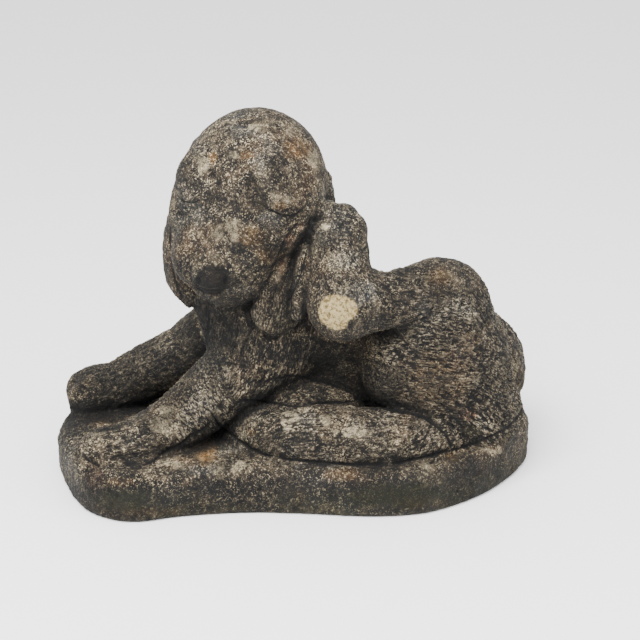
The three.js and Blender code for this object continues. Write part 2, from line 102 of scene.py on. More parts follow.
def ellipsoid_distance(q, radii):
    s = q / radii
    reach = length(s)
    steep = length(s / radii)
    return np.where(steep > 0, reach * (reach - 1) / np.maximum(steep, TINY), -min(radii))


def ellipsoid(centre, radii, turns=(0, 0, 0)):
    radii = np.array(radii, float)

    def own(q):
        return ellipsoid_distance(q, radii)

    return bounded(placed(own, centre, turns), centre, max(radii))


def rounded_block(centre, half, rounding, turns=(0, 0, 0)):
    half = np.array(half, float)

    def own(q):
        o = np.abs(q) - half + rounding
        return length(np.maximum(o, 0)) + np.minimum(o.max(1), 0) - rounding

    return bounded(placed(own, centre, turns), centre, float(np.linalg.norm(half)))


def bounded(form, centre, reach):
    """The form near its place, and far off the distance to a ball that holds it."""
    centre = np.array(centre, float)

    def own(p):
        away = length(p - centre) - reach
        near = away <= FAR_OFF
        if near.any():
            away[near] = form(p[near])
        return away

    return own


def spline(points, t, closed=False):
    """A point of the smooth curve through the points, with t from 0 to 1 along it."""
    points = np.asarray(points, float)
    if closed:
        points = np.concatenate([points[-1:], points, points[:2]])
    else:
        points = np.concatenate([[2 * points[0] - points[1]], points, [2 * points[-1] - points[-2]]])
    spans = len(points) - 3
    i = min(int(spans * t), spans - 1)
    w = spans * t - i
    p0, p1, p2, p3 = points[i:i + 4]
    m1, m2 = (p2 - p0) / 2, (p3 - p1) / 2
    return p1 + m1 * w + (3 * (p2 - p1) - 2 * m1 - m2) * w**2 + (2 * (p1 - p2) + m1 + m2) * w**3


def limb(stations, flat=1.0, across=(0, 0, 1), steps=4):
    """A tube along a curve, with a radius at each station, thinned across by flat."""
    stations = np.array(stations, float)
    points, radii = stations[:, :3], stations[:, 3]
    count = (len(stations) - 1) * steps
    at = [spline(points, i / count) for i in range(count + 1)]
    width = np.interp(np.arange(count + 1) / steps, np.arange(len(radii)), radii)
    thin = np.array(across, float)
    thin /= np.linalg.norm(thin)
    middle = (points.min(0) + points.max(0)) / 2
    reach = float((length(points - middle) + radii).max())

    def own(p):
        nearest = np.full(len(p), np.inf)
        for i in range(count):
            run = at[i + 1] - at[i]
            d = p - at[i]
            t = np.clip((d @ run) / (run @ run), 0, 1)
            o = d - t[:, None] * run
            w = width[i] + t * (width[i + 1] - width[i])
            apart = (o * o).sum(1)
            if flat == 1.0:
                distance = np.sqrt(apart) - w
            else:
                thinly = o @ thin
                widely = np.sqrt(np.maximum(apart - thinly**2, 0))
                sx, sy = widely / w, thinly / (w * flat)
                r = np.sqrt(sx**2 + sy**2)
                steep = np.sqrt((sx / w) ** 2 + (sy / (w * flat)) ** 2)
                distance = np.where(steep > 0, r * (r - 1) / np.maximum(steep, TINY), -w * flat)
            nearest = np.minimum(nearest, distance)
        return nearest

    return bounded(own, middle, reach)


def blend(softness, *forms):
    """Forms joined into one, with a soft hollow where they meet."""

    def own(p):
        joined = forms[0](p)
        for form in forms[1:]:
            other = form(p)
            overlap = np.maximum(softness - np.abs(joined - other), 0) / softness
            joined = np.minimum(joined, other) - overlap**2 * softness / 4
        return joined

    return own


def carve(softness, body, *cuts):
    """The body less the cuts, with soft edges."""

    def own(p):
        left = body(p)
        for cut in cuts:
            outside = -cut(p)
            overlap = np.maximum(softness - np.abs(left - outside), 0) / softness
            left = np.maximum(left, outside) + overlap**2 * softness / 4
        return left

    return own


# The dog
HEAD_PLACE = (-12.2, 1.5, 78)
HEAD_TURNS = (7, 35.5, -116)
HEAD_MIDDLE = (6, 0, -4)
HEAD_REACH = 34
NOSE = ((34.4, -1.4, -4.2), (3.8, 5.6, 4.8), (0, 25, 0))


def head():
    skull = blend(
        8,
        ellipsoid((-2, 0, 0), (20.5, 20.5, 19.3)),
        ellipsoid((4, 0, -3), (19, 21.5, 17.5)),
    )
    muzzle = rounded_block((17, -2.8, -6.5), (18.5, 16.3, 11), 11, (0, 5, -2))
    bridge = ellipsoid((16, 1.2, 1), (17, 9.5, 8), (0, 20, -2))
    jaw = ellipsoid((27, -2.5, -15), (10, 10.5, 7.5), (0, -15, 0))
    cheeks = [ellipsoid((8.5, 12 * s, -5), (11, 9.5, 10)) for s in (1, -1)]
    brows = [
        ellipsoid((9, 11, 11), (6, 8, 4.5), (0, 0, 20)),
        ellipsoid((9, -10, 11), (6, 6.3, 4.5), (0, 0, -20)),
    ]
    nose = ellipsoid(*NOSE)
    left_eye = limb([(13.8, 14.3, 7.4, 2.4), (12.2, 17.2, 4.4, 4), (10.7, 20.2, 1, 2.6)])
    right_eye = limb([(16.8, -6, 9, 2.6), (16, -10.6, 7.4, 4.1), (13.4, -14.6, 5, 2.6)])
    left_corner = limb([(13.6, 12.2, 13.6, 1), (15.9, 13.1, 10.8, 1.6), (16.7, 13.8, 7.6, 1.1)])
    right_corner = limb([(14.4, -12, 13.8, 0.9), (15.6, -9, 14.1, 1.3), (16.9, -6, 12.6, 0.9)])
    face = blend(6, skull, blend(4, muzzle, bridge, jaw), *cheeks, *brows)
    with_eyes = blend(1.6, face, left_eye, right_eye)
    with_nose = blend(0.8, with_eyes, nose)
    return carve(2.4, with_nose, left_corner, right_corner)


def placed_head():
    return placed(bounded(head(), HEAD_MIDDLE, HEAD_REACH), HEAD_PLACE, HEAD_TURNS)


EAR_FLATNESS = 0.42
LEFT_EAR = [
    (7.6, 1.5, 76.5, 4.8), (7.2, -2.5, 70, 6.4), (3, -6.5, 62, 7),
    (-0.5, -10, 54, 7), (-3.5, -12.5, 46, 8), (-4.7, -13.5, 41.5, 8.2),
]
RIGHT_EAR = [
    (-28, 4, 84, 5.6), (-31.8, 3, 73, 6.8), (-35.7, 0, 58.5, 7.5),
    (-35.8, -2.5, 49, 6.4), (-32.5, -4, 44, 5),
]
# The lock of the left ear that hangs beside the raised foot
EAR_LOCK = [
    (5.2, -6.5, 67, 2.2), (4.4, -9.5, 62, 3.1), (4.2, -12, 57.5, 3.5),
    (4.0, -14, 53, 3.7), (3.4, -15, 48.5, 3.5), (2.6, -15.5, 44, 3.0), (1.6, -15.5, 40.5, 2.2),
]


def ears():
    left = limb(LEFT_EAR, flat=EAR_FLATNESS, across=(0.45, -0.9, 0.1))
    right = limb(RIGHT_EAR, flat=EAR_FLATNESS, across=(-0.9, -0.45, 0))
    lock = limb(EAR_LOCK)
    return blend(1.6, blend(1.0, left, lock), right)


def torso():
    trunk = limb([
        (-6, 6, 62, 13), (2, 7, 48, 15), (10, 8, 34, 17),
        (28, 10, 26, 18), (45, 11, 20, 18), (56, 10, 13, 18),
    ])
    chest = ellipsoid((-8, 0, 27), (17, 14, 20))
    throat = limb([(-20.5, -1, 47, 12.5), (-15, -3, 32, 13)])
    behind_ear = ellipsoid((-5.5, -7.5, 50), (7, 6, 9))
    belly = ellipsoid((20, 9, 8), (30, 15, 16))
    right_shoulder = ellipsoid((-7, 15, 36), (11, 8, 16), (0, -20, 0))
    temple = ellipsoid((-33, -2, 71), (4.1, 6, 11), (0, 12, 0))
    right_haunch = ellipsoid((52, 19, 11), (22.8, 13, 21))
    tail = limb([(66, 20, 14, 6), (66, 30, 7, 4.6), (57, 36, 4, 4.2), (46, 36, 2.5, 3.4)])
    body = blend(6, trunk, chest, throat, belly, behind_ear)
    return blend(3, body, right_shoulder, right_haunch, tail, temple)


def near_foreleg():
    leg = limb([
        (-9, -5, 25, 12), (-22, -12, 16, 10.5), (-35, -18.5, 7, 8.8),
        (-47, -23, 1.5, 7.8), (-56, -25.5, -0.5, 8),
    ])
    toes = blend(
        0.8,
        ellipsoid((-60, -31.5, -1.5), (5, 3.2, 4.5), (0, 0, 30)),
        ellipsoid((-61.8, -26.8, -1), (5, 3.4, 4.5), (0, 0, 15)),
        ellipsoid((-61, -21.5, -1), (5, 3.2, 4.5)),
    )
    return blend(2.5, leg, toes)


def far_foreleg():
    leg = limb([
        (-20, 10, 28, 12), (-34, 11, 18, 9.5), (-47, 12, 11, 9), (-57, 12, 6, 8), (-64, 11.4, 4.5, 8.6),
    ])
    toes = blend(
        0.8,
        ellipsoid((-67.5, 5.2, 3.5), (5, 3.4, 6.2)),
        ellipsoid((-69.2, 11.2, 4.2), (4.8, 3.4, 6.8)),
        ellipsoid((-67.5, 17.2, 3.5), (5, 3.4, 6.2)),
    )
    return blend(1.5, leg, toes)


def raised_leg():
    thigh = blend(
        8,
        ellipsoid((44, -7, 22), (23.5, 17, 22)),
        ellipsoid((45, -8.5, 42.3), (14.2, 11.5, 13.4)),
        ellipsoid((51, -5, 4), (21, 19, 14)),
    )
    shank = limb([(42, -12, 47, 9), (28, -17, 45.5, 8.3), (15, -21, 45.5, 10)])
    foot = limb([(15, -21, 45.5, 10), (14.2, -16, 56, 8.9), (13.8, -11, 64, 8.4)])
    toes = blend(
        0.9,
        ellipsoid((9, -13, 66), (4, 4, 3.6)),
        ellipsoid((10.5, -9.5, 70.5), (4, 4, 3.6)),
        ellipsoid((15, -8.5, 69), (4.6, 4.6, 4)),
        ellipsoid((18.2, -9, 65), (4.2, 5, 4.6)),
    )
    return blend(3, thigh, shank, blend(1.2, foot, toes))


def lower_leg():
    shin = limb([
        (50, -21, 1.5, 4), (42, -23, 2, 7.5), (31, -23.5, 1.5, 10.6), (12, -23, 1, 12.2),
        (-3, -19.5, 1, 11.2), (-13.5, -12, 1, 8.8), (-21, -6.5, 1.5, 4),
    ])
    fold = ellipsoid((4.8, -6.5, 8.8), (18, 9.5, 7), (0, 4, 0))
    return blend(1.2, shin, fold)


# As shares of the plinth's length and depth
PLINTH_OUTLINE = [
    (-0.5, -0.02), (-0.472, -0.22), (-0.42, -0.4), (-0.36, -0.48), (-0.3, -0.498), (-0.22, -0.462),
    (-0.1, -0.436), (0.02, -0.441), (0.15, -0.462), (0.25, -0.445), (0.32, -0.39), (0.385, -0.305),
    (0.43, -0.22), (0.475, -0.1), (0.5, 0.04), (0.46, 0.26), (0.36, 0.41), (0.2, 0.495),
    (0, 0.5), (-0.2, 0.47), (-0.37, 0.38), (-0.47, 0.17),
]
OUTLINE_STEPS = 4  # straight pieces between two points of the outline
PLINTH_FILLET = 2.0  # softness of the join between the dog and the plinth, in grid units


def outline_distance(outline, x, y):
    """Distance to a closed outline, below zero inside it."""
    nearest = np.full(len(x), np.inf)
    inside = np.zeros(len(x), bool)
    for a, b in zip(outline, np.roll(outline, -1, axis=0)):
        e = b - a
        t = np.clip(((x - a[0]) * e[0] + (y - a[1]) * e[1]) / (e @ e), 0, 1)
        nearest = np.minimum(nearest, (x - a[0] - t * e[0]) ** 2 + (y - a[1] - t * e[1]) ** 2)
        if e[1] != 0:
            inside ^= ((a[1] > y) != (b[1] > y)) & (x < a[0] + (y - a[1]) / e[1] * e[0])
    nearest = np.sqrt(nearest)
    return np.where(inside, -nearest, nearest)


def plinth():
    """In metres."""
    count = len(PLINTH_OUTLINE) * OUTLINE_STEPS
    outline = np.array([spline(PLINTH_OUTLINE, i / count, closed=True) for i in range(count)])
    low, high = outline.min(0), outline.max(0)
    outline = (outline - (low + high) / 2) / (high - low) * (PLINTH_LENGTH, PLINTH_DEPTH)

    def own(p):
        x, y, z = p.T
        result = z - PLINTH_THICKNESS
        near = result <= FAR_OFF * UNIT
        x, y, z = x[near], y[near], z[near]
        upper = z > PLINTH_THICKNESS / 2
        along = np.clip(x / PLINTH_LENGTH + 0.5, 0, 1)
        top = PLINTH_PAW_ROUNDING + along * (PLINTH_RUMP_ROUNDING - PLINTH_PAW_ROUNDING)
        rounding = np.where(upper, top, PLINTH_FOOT_ROUNDING)
        side = outline_distance(outline, x, y) + rounding
        face = np.where(upper, z - PLINTH_THICKNESS, -z) + rounding
        corner = np.hypot(np.maximum(side, 0), np.maximum(face, 0))
        result[near] = np.minimum(np.maximum(side, face), 0) + corner - rounding
        return result

    return own


def dog():
    """In grid units."""
    body = blend(3, torso(), raised_leg())
    with_forelegs = blend(2, body, near_foreleg(), far_foreleg())
    return blend(1.3, blend(1.3, with_forelegs, lower_leg()), ears(), placed_head())


GRID_ORIGIN = np.array([0, GRID_SETBACK, PLINTH_THICKNESS])


def statue():
    """In grid units, from the grid's origin."""
    base_in_metres = plinth()

    def base(p):
        return base_in_metres(p * UNIT + GRID_ORIGIN) / UNIT

    whole = blend(PLINTH_FILLET, dog(), base)
    under = -PLINTH_THICKNESS / UNIT

    def own(p):
        return np.maximum(whole(p), under - p[:, 2])

    return own


# Meshing
def sampled(form, low, shape, cell):
    """The form's distances on a grid, exact only in the blocks near its surface."""
    values = np.empty(shape)
    starts = [np.arange(0, n, BLOCK) for n in shape]
    blocks = np.stack(np.meshgrid(*starts, indexing="ij"), -1).reshape(-1, 3)
    middles = form(low + (blocks + BLOCK / 2) * cell)
    clear = BLOCK_CLEARANCE * BLOCK * cell
    near = []
    for (i, j, k), middle in zip(blocks, middles):
        if abs(middle) > clear:
            values[i:i + BLOCK, j:j + BLOCK, k:k + BLOCK] = middle
        else:
            near.append((i, j, k))
    offsets = np.stack(np.meshgrid(*[np.arange(BLOCK)] * 3, indexing="ij"), -1).reshape(-1, 3)
    points = (np.array(near)[:, None, :] + offsets).reshape(-1, 3)
    points = points[(points < shape).all(1)]
    for part in np.array_split(points, SAMPLING_BATCHES):
        values[part[:, 0], part[:, 1], part[:, 2]] = form(low + part * cell)
    return values


def shifted(array, offset, spans=(1, 1, 1)):
    """The samples that lie an offset on, as views cut to the same shape."""
    return array[tuple(slice(o, size - s + o) for o, s, size in zip(offset, spans, array.shape))]


CORNERS = [(i, j, k) for k in (0, 1) for j in (0, 1) for i in (0, 1)]


def without_pinches(values):
    """Fills samples where the form would touch itself only along an edge or at a corner."""
    for _ in range(FILLING_ROUNDS):
        changed = 0
        for axis in range(3):
            spans = np.roll((0, 1, 1), axis)
            ring = [np.roll((0, u, v), axis) for u, v in ((0, 0), (1, 0), (0, 1), (1, 1))]
            a, b, c, d = (shifted(values < 0, offset, spans) for offset in ring)
            bad = (a == d) & (b == c) & (a != b)
            changed += int(bad.sum())
            for offset in ring:
                block = shifted(values, offset, spans)
                block[bad & (block >= 0)] = FILLED
        part = {corner: shifted(values, corner) for corner in CORNERS}
        inside = {corner: block < 0 for corner, block in part.items()}
        count = sum(block.astype(int) for block in inside.values())
        bad = (count == 2) | (count == 6)
        for i, j, k in CORNERS:
            bad &= inside[i, j, k] == inside[1 - i, 1 - j, 1 - k]
        changed += int(bad.sum())
        for block in part.values():
            block[bad & (block >= 0)] = FILLED
        if not changed:
            return


def mesh_of(form, low, high, cell):
    """Vertices and four-sided faces of the form's surface, with one vertex in each crossed cell."""
    shape = tuple(int(math.ceil((h - l) / cell)) + 1 for l, h in zip(low, high))
    values = sampled(form, low, shape, cell)
    without_pinches(values)
    inside = values < 0
    filled_corners = sum(shifted(inside, corner).astype(np.int8) for corner in CORNERS)
    cells = np.argwhere((filled_corners > 0) & (filled_corners < len(CORNERS)))
    number = np.full(filled_corners.shape, -1, np.int64)
    number[tuple(cells.T)] = np.arange(len(cells))
    total = np.zeros((len(cells), 3))
    crossings = np.zeros(len(cells))
    for a in CORNERS:
        for axis in range(3):
            if a[axis]:
                continue
            b = list(a)
            b[axis] = 1
            va = values[tuple((cells + a).T)]
            vb = values[tuple((cells + b).T)]
            cross = (va < 0) != (vb < 0)
            t = np.where(cross, va / np.where(cross, va - vb, 1), 0)
            point = np.array(a, float) + t[:, None] * (np.array(b) - a)
            total += point * cross[:, None]
            crossings += cross
    vertices = low + (cells + total / crossings[:, None]) * cell
    quads = []
    for axis in range(3):
        step, du, dv = np.roll(np.eye(3, dtype=int), -axis, axis=0)
        crossed = shifted(inside, (0, 0, 0), step) != shifted(inside, step, step)
        at = np.argwhere(crossed)
        at = at[(at > 0).all(1) & (at < np.array(shape) - 1).all(1)]
        quad = np.stack([number[tuple((at - o).T)] for o in (0 * du, du, du + dv, dv)], 1)
        is_inside = inside[tuple(at.T)]
        quad[is_inside] = quad[is_inside][:, ::-1]
        quads.append(quad[:, ::-1])
    return vertices, np.concatenate(quads)


def slope(form, p):
    """The form's distance at each point, and its gradient."""
    d = form(p)
    gradient = np.empty_like(p)
    for axis in range(3):
        q = p.copy()
        q[:, axis] += SLOPE_STEP
        gradient[:, axis] = (form(q) - d) / SLOPE_STEP
    return d, gradient


def settled(form, p, rounds):
    """Points moved onto the form's surface, by a cell at most in each round."""
    for _ in range(rounds):
        d, g = slope(form, p)
        move = d[:, None] * g / np.maximum((g * g).sum(1), LEAST_SLOPE)[:, None]
        far = length(move)
        p = p - move * np.minimum(1, CELL / np.maximum(far, TINY))[:, None]
    return p


# Noise
def lattice(ix, iy, iz, seed):
    """A value from -1 to 1 for each whole-numbered place, by hashing it."""
    h = (ix * 374761393 + iy * 668265263 + iz * 2147483647 + seed * 974634777) & 0xFFFFFFFF
    h = ((h ^ (h >> 13)) * 1274126177) & 0xFFFFFFFF
    h = ((h ^ (h >> 16)) * 2246822519) & 0xFFFFFFFF
    return ((h ^ (h >> 15)) & 0xFFFF) / 32767.5 - 1


def noise(p, seed):
    """Smooth noise from -1 to 1 with a wavelength of about 2."""
    base = np.floor(p).astype(np.int64)
    f = p - base
    f = f * f * (3 - 2 * f)
    x, y, z = base.T
    shares = (1 - f, f)
    result = 0
    for i, j, k in np.ndindex(2, 2, 2):
        weight = shares[i][:, 0] * shares[j][:, 1] * shares[k][:, 2]
        result = result + weight * lattice(x + i, y + j, z + k, seed)
    return result


OCTAVE_SHARE = 0.55  # weight of each octave next to the one before
OCTAVE_SHIFT = 17.3  # moves each octave's lattice away from the others


def octaves(p, wavelength, count, seed):
    """Noise from -1 to 1 summed over finer and finer waves."""
    total, weight, reach = 0, 1.0, 0.0
    for n in range(count):
        total = total + weight * noise(p * 2 / wavelength * 2**n + OCTAVE_SHIFT * n, seed + n)
        reach += weight
        weight *= OCTAVE_SHARE
    return total / reach


def smooth_step(a, b, x):
    t = np.clip((x - a) / (b - a), 0, 1)
    return t * t * (3 - 2 * t)


# The front drawing
# Fine carving, stains and painted shade are laid out on a drawing of the front, 640 wide, for one viewing
# place.
# They are fixed on the vertices once, so they don't move when the camera does.
VIEW_TARGET = np.array([0.0253, -0.0052, 0.1467])
VIEW_DISTANCE = 1.517
VIEW_ELEVATION = math.radians(20)
VIEW_FOCAL = 1579.0
DRAWING = 640
DRAWING_PITCH = 4  # cells in which the nearest surface is looked for
SEEN_DEPTHS = (0.03, 0.015)  # metres behind the nearest surface where a point is hidden and where it is seen
SEEN_FACING = (0.02, 0.25)  # cosines between which a surface turns into view
SEEN_ENOUGH = 0.05
VIEW_AHEAD = np.array([0, math.cos(VIEW_ELEVATION), -math.sin(VIEW_ELEVATION)])
VIEW_UP = np.array([0, math.sin(VIEW_ELEVATION), math.cos(VIEW_ELEVATION)])
VIEW_PLACE = VIEW_TARGET - VIEW_DISTANCE * VIEW_AHEAD


def on_drawing(world):
    """Where points fall on the front drawing, and how far off they are, in metres."""
    away = world - VIEW_PLACE
    depth = away @ VIEW_AHEAD
    across = DRAWING / 2 + VIEW_FOCAL * away[:, 0] / depth
    down = DRAWING / 2 - VIEW_FOCAL * (away @ VIEW_UP) / depth
    return np.stack([across, down], 1), depth


def in_front(place, depth, normal, world):
    """1 where a point can be seen on the front drawing, fading to 0 where it can't."""
    count = DRAWING // DRAWING_PITCH
    column, row = np.clip((place / DRAWING_PITCH).astype(int), 0, count - 1).T
    nearest = np.full((count, count), np.inf)
    np.minimum.at(nearest, (column, row), depth)
    behind = depth - nearest[column, row]
    towards = VIEW_PLACE - world
    facing = (normal * towards).sum(1) / length(towards)
    return smooth_step(*SEEN_DEPTHS, behind) * smooth_step(*SEEN_FACING, facing)


# Each line: rise in mm (a groove is below 0), half width and the points it runs through
LINES = [
    # Lids and hollow of the eye on the right of the drawing
    (-1.7, 1.7, [
        (260, 202), (265, 208), (272, 211.5), (280, 214.5), (288, 216), (296, 214.5), (302, 210),
        (305, 205),
    ]),
    (-0.7, 1.2, [(268, 205), (276, 209.5), (286, 211.5), (296, 209.5), (301, 205)]),
    (0.7, 1.2, [(264, 206.5), (272, 209.3), (280, 212.3), (288, 213.6), (296, 212), (301, 208)]),
    (-0.6, 3.5, [(256, 188), (260, 194), (264, 201)]),
    (-1.0, 2.2, [(268, 190), (265, 196), (267, 203)]),
    (-0.6, 2.5, [(270, 189), (280, 186.5), (292, 188), (302, 195)]),
    (-0.6, 1.3, [(304, 199), (307, 206), (306, 213)]),
    # Eye on the left
    (-0.7, 4.5, [(183, 182), (190, 184), (198, 189)]),
    (-1.6, 1.5, [(178, 198), (185, 202), (194, 202.5), (202, 199)]),
    (-0.5, 1.5, [(180, 207), (188, 210), (197, 210)]),
    (-0.8, 4.0, [(212, 174), (217, 180), (218, 187)]),
    # Between the far ear and the cheek
    (-1.9, 1.3, [(170.5, 222), (169.5, 240), (170.5, 258), (173.5, 275), (178, 290), (184, 301)]),
    # Nose and mouth
    (-2.2, 2.4, [(198, 277), (200, 285)]),
    (-2.2, 2.2, [(226, 276), (224.5, 284)]),
    (-1.3, 1.6, [(196, 287), (203, 292), (212, 294), (220, 292.5), (227, 286)]),
    (-1.0, 1.3, [(213, 297), (222, 292), (230, 286.5), (240, 281.5), (250, 276), (260, 269.5), (267, 262.5)]),
    (0.4, 1.8, [(226, 295), (236, 289), (248, 281), (260, 273)]),
    (-0.9, 1.2, [(211.5, 294), (212, 300), (213, 305)]),
    # Ear under the paw: grooves and ridges of the locks, and the lobe
    (-1.3, 1.4, [
        (300, 221), (291, 231), (284, 242), (279, 254), (274, 266), (268, 278), (261, 289), (256, 300),
    ]),
    (1.3, 2.6, [(305, 225), (297, 233), (291, 244), (287, 256), (283, 269), (278, 281), (272, 293)]),
    (-1.4, 1.4, [
        (308, 232), (303, 240), (297, 247), (292, 257), (289, 268), (285, 279), (281, 290), (277, 299),
    ]),
    (0.9, 2.0, [(305, 243), (301, 255), (297, 267), (292, 279), (288, 291)]),
    (-1.7, 1.6, [(307, 250), (304, 262), (301, 273), (297, 284), (292, 294), (288, 303)]),
    (-1.3, 1.5, [(277, 283), (274, 294), (270, 305), (266, 316), (263, 327)]),
    (-1.1, 1.4, [(284, 296), (281, 306), (277, 316), (273, 325), (271, 333)]),
    (-1.1, 1.4, [(293, 303), (290, 312), (285, 320), (281, 329)]),
    (0.8, 1.5, [(268, 305), (263, 318), (259, 329)]),
    (-1.2, 1.3, [
        (251, 312), (251, 322), (255, 333), (264, 339), (276, 338.5), (287, 334), (297, 327), (303, 317),
    ]),
    (-1.3, 1.3, [(297, 301), (303, 305), (303, 312), (298, 317), (293, 313), (294, 307)]),
    # Toes of the raised foot
    (-2.2, 1.3, [(311, 217), (309.5, 224), (311, 230), (315, 234)]),
    (-1.0, 1.6, [(315, 218), (322, 219.5), (330, 217)]),
    (-0.9, 1.6, [(333, 201), (334, 208), (332, 217), (336, 226)]),
    (-0.8, 1.6, [(350, 207), (352, 215), (351, 224)]),
    (-0.8, 1.8, [(318, 233), (326, 235.5), (334, 233)]),
    # Far paw
    (-1.4, 1.8, [(70, 380), (80, 383), (88, 390), (92, 399)]),
    (-1.2, 1.8, [(84, 369), (95, 375), (103, 384), (107, 395)]),
    (-0.9, 1.8, [(66, 391), (74, 396), (80, 404)]),
    # Near paw, and the lower edge of the near foreleg
    (-1.4, 2.2, [(84, 457), (92, 462), (101, 466)]),
    (-1.4, 2.2, [(112, 459), (119, 456), (127, 461), (135, 467)]),
    (-1.2, 1.8, [(103, 447), (112, 446), (122, 449)]),
    (-2.2, 1.8, [
        (143, 465), (152, 461), (160, 455), (170, 450), (180, 445), (188, 438), (197, 433), (206, 428),
        (212, 420),
    ]),
    # Groove under the leaf-shaped lower leg
    (-3.0, 1.6, [
        (213, 414), (218, 424), (222, 428), (230, 434), (240, 441), (250, 448), (262, 454), (275, 457),
    ]),
    (-3.0, 1.6, [(275, 457), (290, 459.5), (310, 461.5), (330, 463), (350, 464), (370, 464), (390, 463.5)]),
    (-3.0, 1.7, [(390, 463.5), (400, 462.5), (410, 460), (420, 458), (430, 456), (440, 453), (450, 450.5)]),
    (-2.2, 1.5, [(450, 450.5), (460, 448.5), (470, 445.5), (480, 442)]),
    (-2.6, 1.6, [(480, 442), (490, 437), (500, 432), (508, 428), (514, 421), (520, 414), (525, 404)]),
    # Between the haunch and the lower leg
    (-2.4, 2.0, [(356, 396), (364, 402), (375, 405), (385, 408), (398, 411), (410, 413)]),
    (-2.4, 1.8, [(410, 413), (424, 418), (436, 425), (446, 434), (450, 442), (452, 449)]),
    # The fold above the lower leg
    (-2.2, 1.5, [
        (236, 404), (244, 401), (255, 400.5), (266, 402), (280, 404), (297, 405.5), (315, 404),
        (330, 402.5), (345, 402), (358, 401),
    ]),
    (-1.6, 1.7, [
        (254, 392), (261, 384), (270, 380), (290, 376), (310, 378), (330, 383.5), (345, 389), (358, 397),
    ]),
    # Between the near haunch and the far one
    (-1.6, 1.6, [(497, 309), (503, 320), (508, 331), (511, 342)]),
    # Neck and chest
    (-1.6, 2.0, [(207, 305), (209, 320), (207, 335), (206, 348)]),
    (-1.2, 1.6, [(222, 309), (224, 320), (223, 332), (220, 343)]),
    (-1.2, 1.6, [(236, 308), (238, 320), (238, 334), (234, 346)]),
    (-1.4, 1.8, [(247, 303), (246, 315), (249, 328), (250, 341)]),
    (-1.0, 1.6, [(262, 345), (270, 352), (276, 362)]),
    (-1.4, 2.0, [(306, 322), (310, 333), (317, 342), (327, 348)]),
    (-1.0, 1.6, [(292, 340), (297, 350), (300, 361)]),
]


LINE_DEPTH = 0.85  # share of the rises above
LINE_WIDTH = 0.78  # share of the half widths above
LINE_REACH = 3  # half widths beyond which a line does nothing
LINE_FADE = 0.14  # share of a line's length over which its ends fade
LINE_FADE_START = 0.03
DEEP_LINE = -1.5  # grooves deeper than this aren't added to those they cross
DARKEST_GROOVE_DEPTH = 1.8  # mm at which a groove is full of dirt and painted shade


def drawn(place):
    """Height of the drawn lines, in mm, and how dark the dirt and painted shade lie in them."""
    height = np.zeros(len(place))
    groove_dark = np.zeros(len(place))
    for rise, width, points in LINES:
        points = np.array(points, float)
        rise, width = rise * LINE_DEPTH, width * LINE_WIDTH
        reach = LINE_REACH * width
        low, high = points.min(0) - reach, points.max(0) + reach
        near = ((place > low) & (place < high)).all(1)
        q = place[near]
        if not len(q):
            continue
        nearest = np.full(len(q), np.inf)
        run_share = np.zeros(len(q))
        pieces = len(points) - 1
        for i in range(pieces):
            a, run = points[i], points[i + 1] - points[i]
            t = np.clip(((q - a) @ run) / (run @ run), 0, 1)
            d = length(q - a - t[:, None] * run)
            closer = d < nearest
            nearest = np.where(closer, d, nearest)
            run_share = np.where(closer, (i + t) / pieces, run_share)
        fade = smooth_step(0, LINE_FADE, np.minimum(run_share, 1 - run_share) + LINE_FADE_START)
        profile = np.exp(-((nearest / width) ** 2)) * fade
        if rise < DEEP_LINE:
            height[near] = np.minimum(height[near], rise * profile)
        else:
            height[near] += rise * profile
        # Deeper grooves hold more dirt and painted shade
        if rise < 0:
            groove_dark[near] = np.maximum(groove_dark[near], profile * min(1, -rise / DARKEST_GROOVE_DEPTH))
    return height, groove_dark
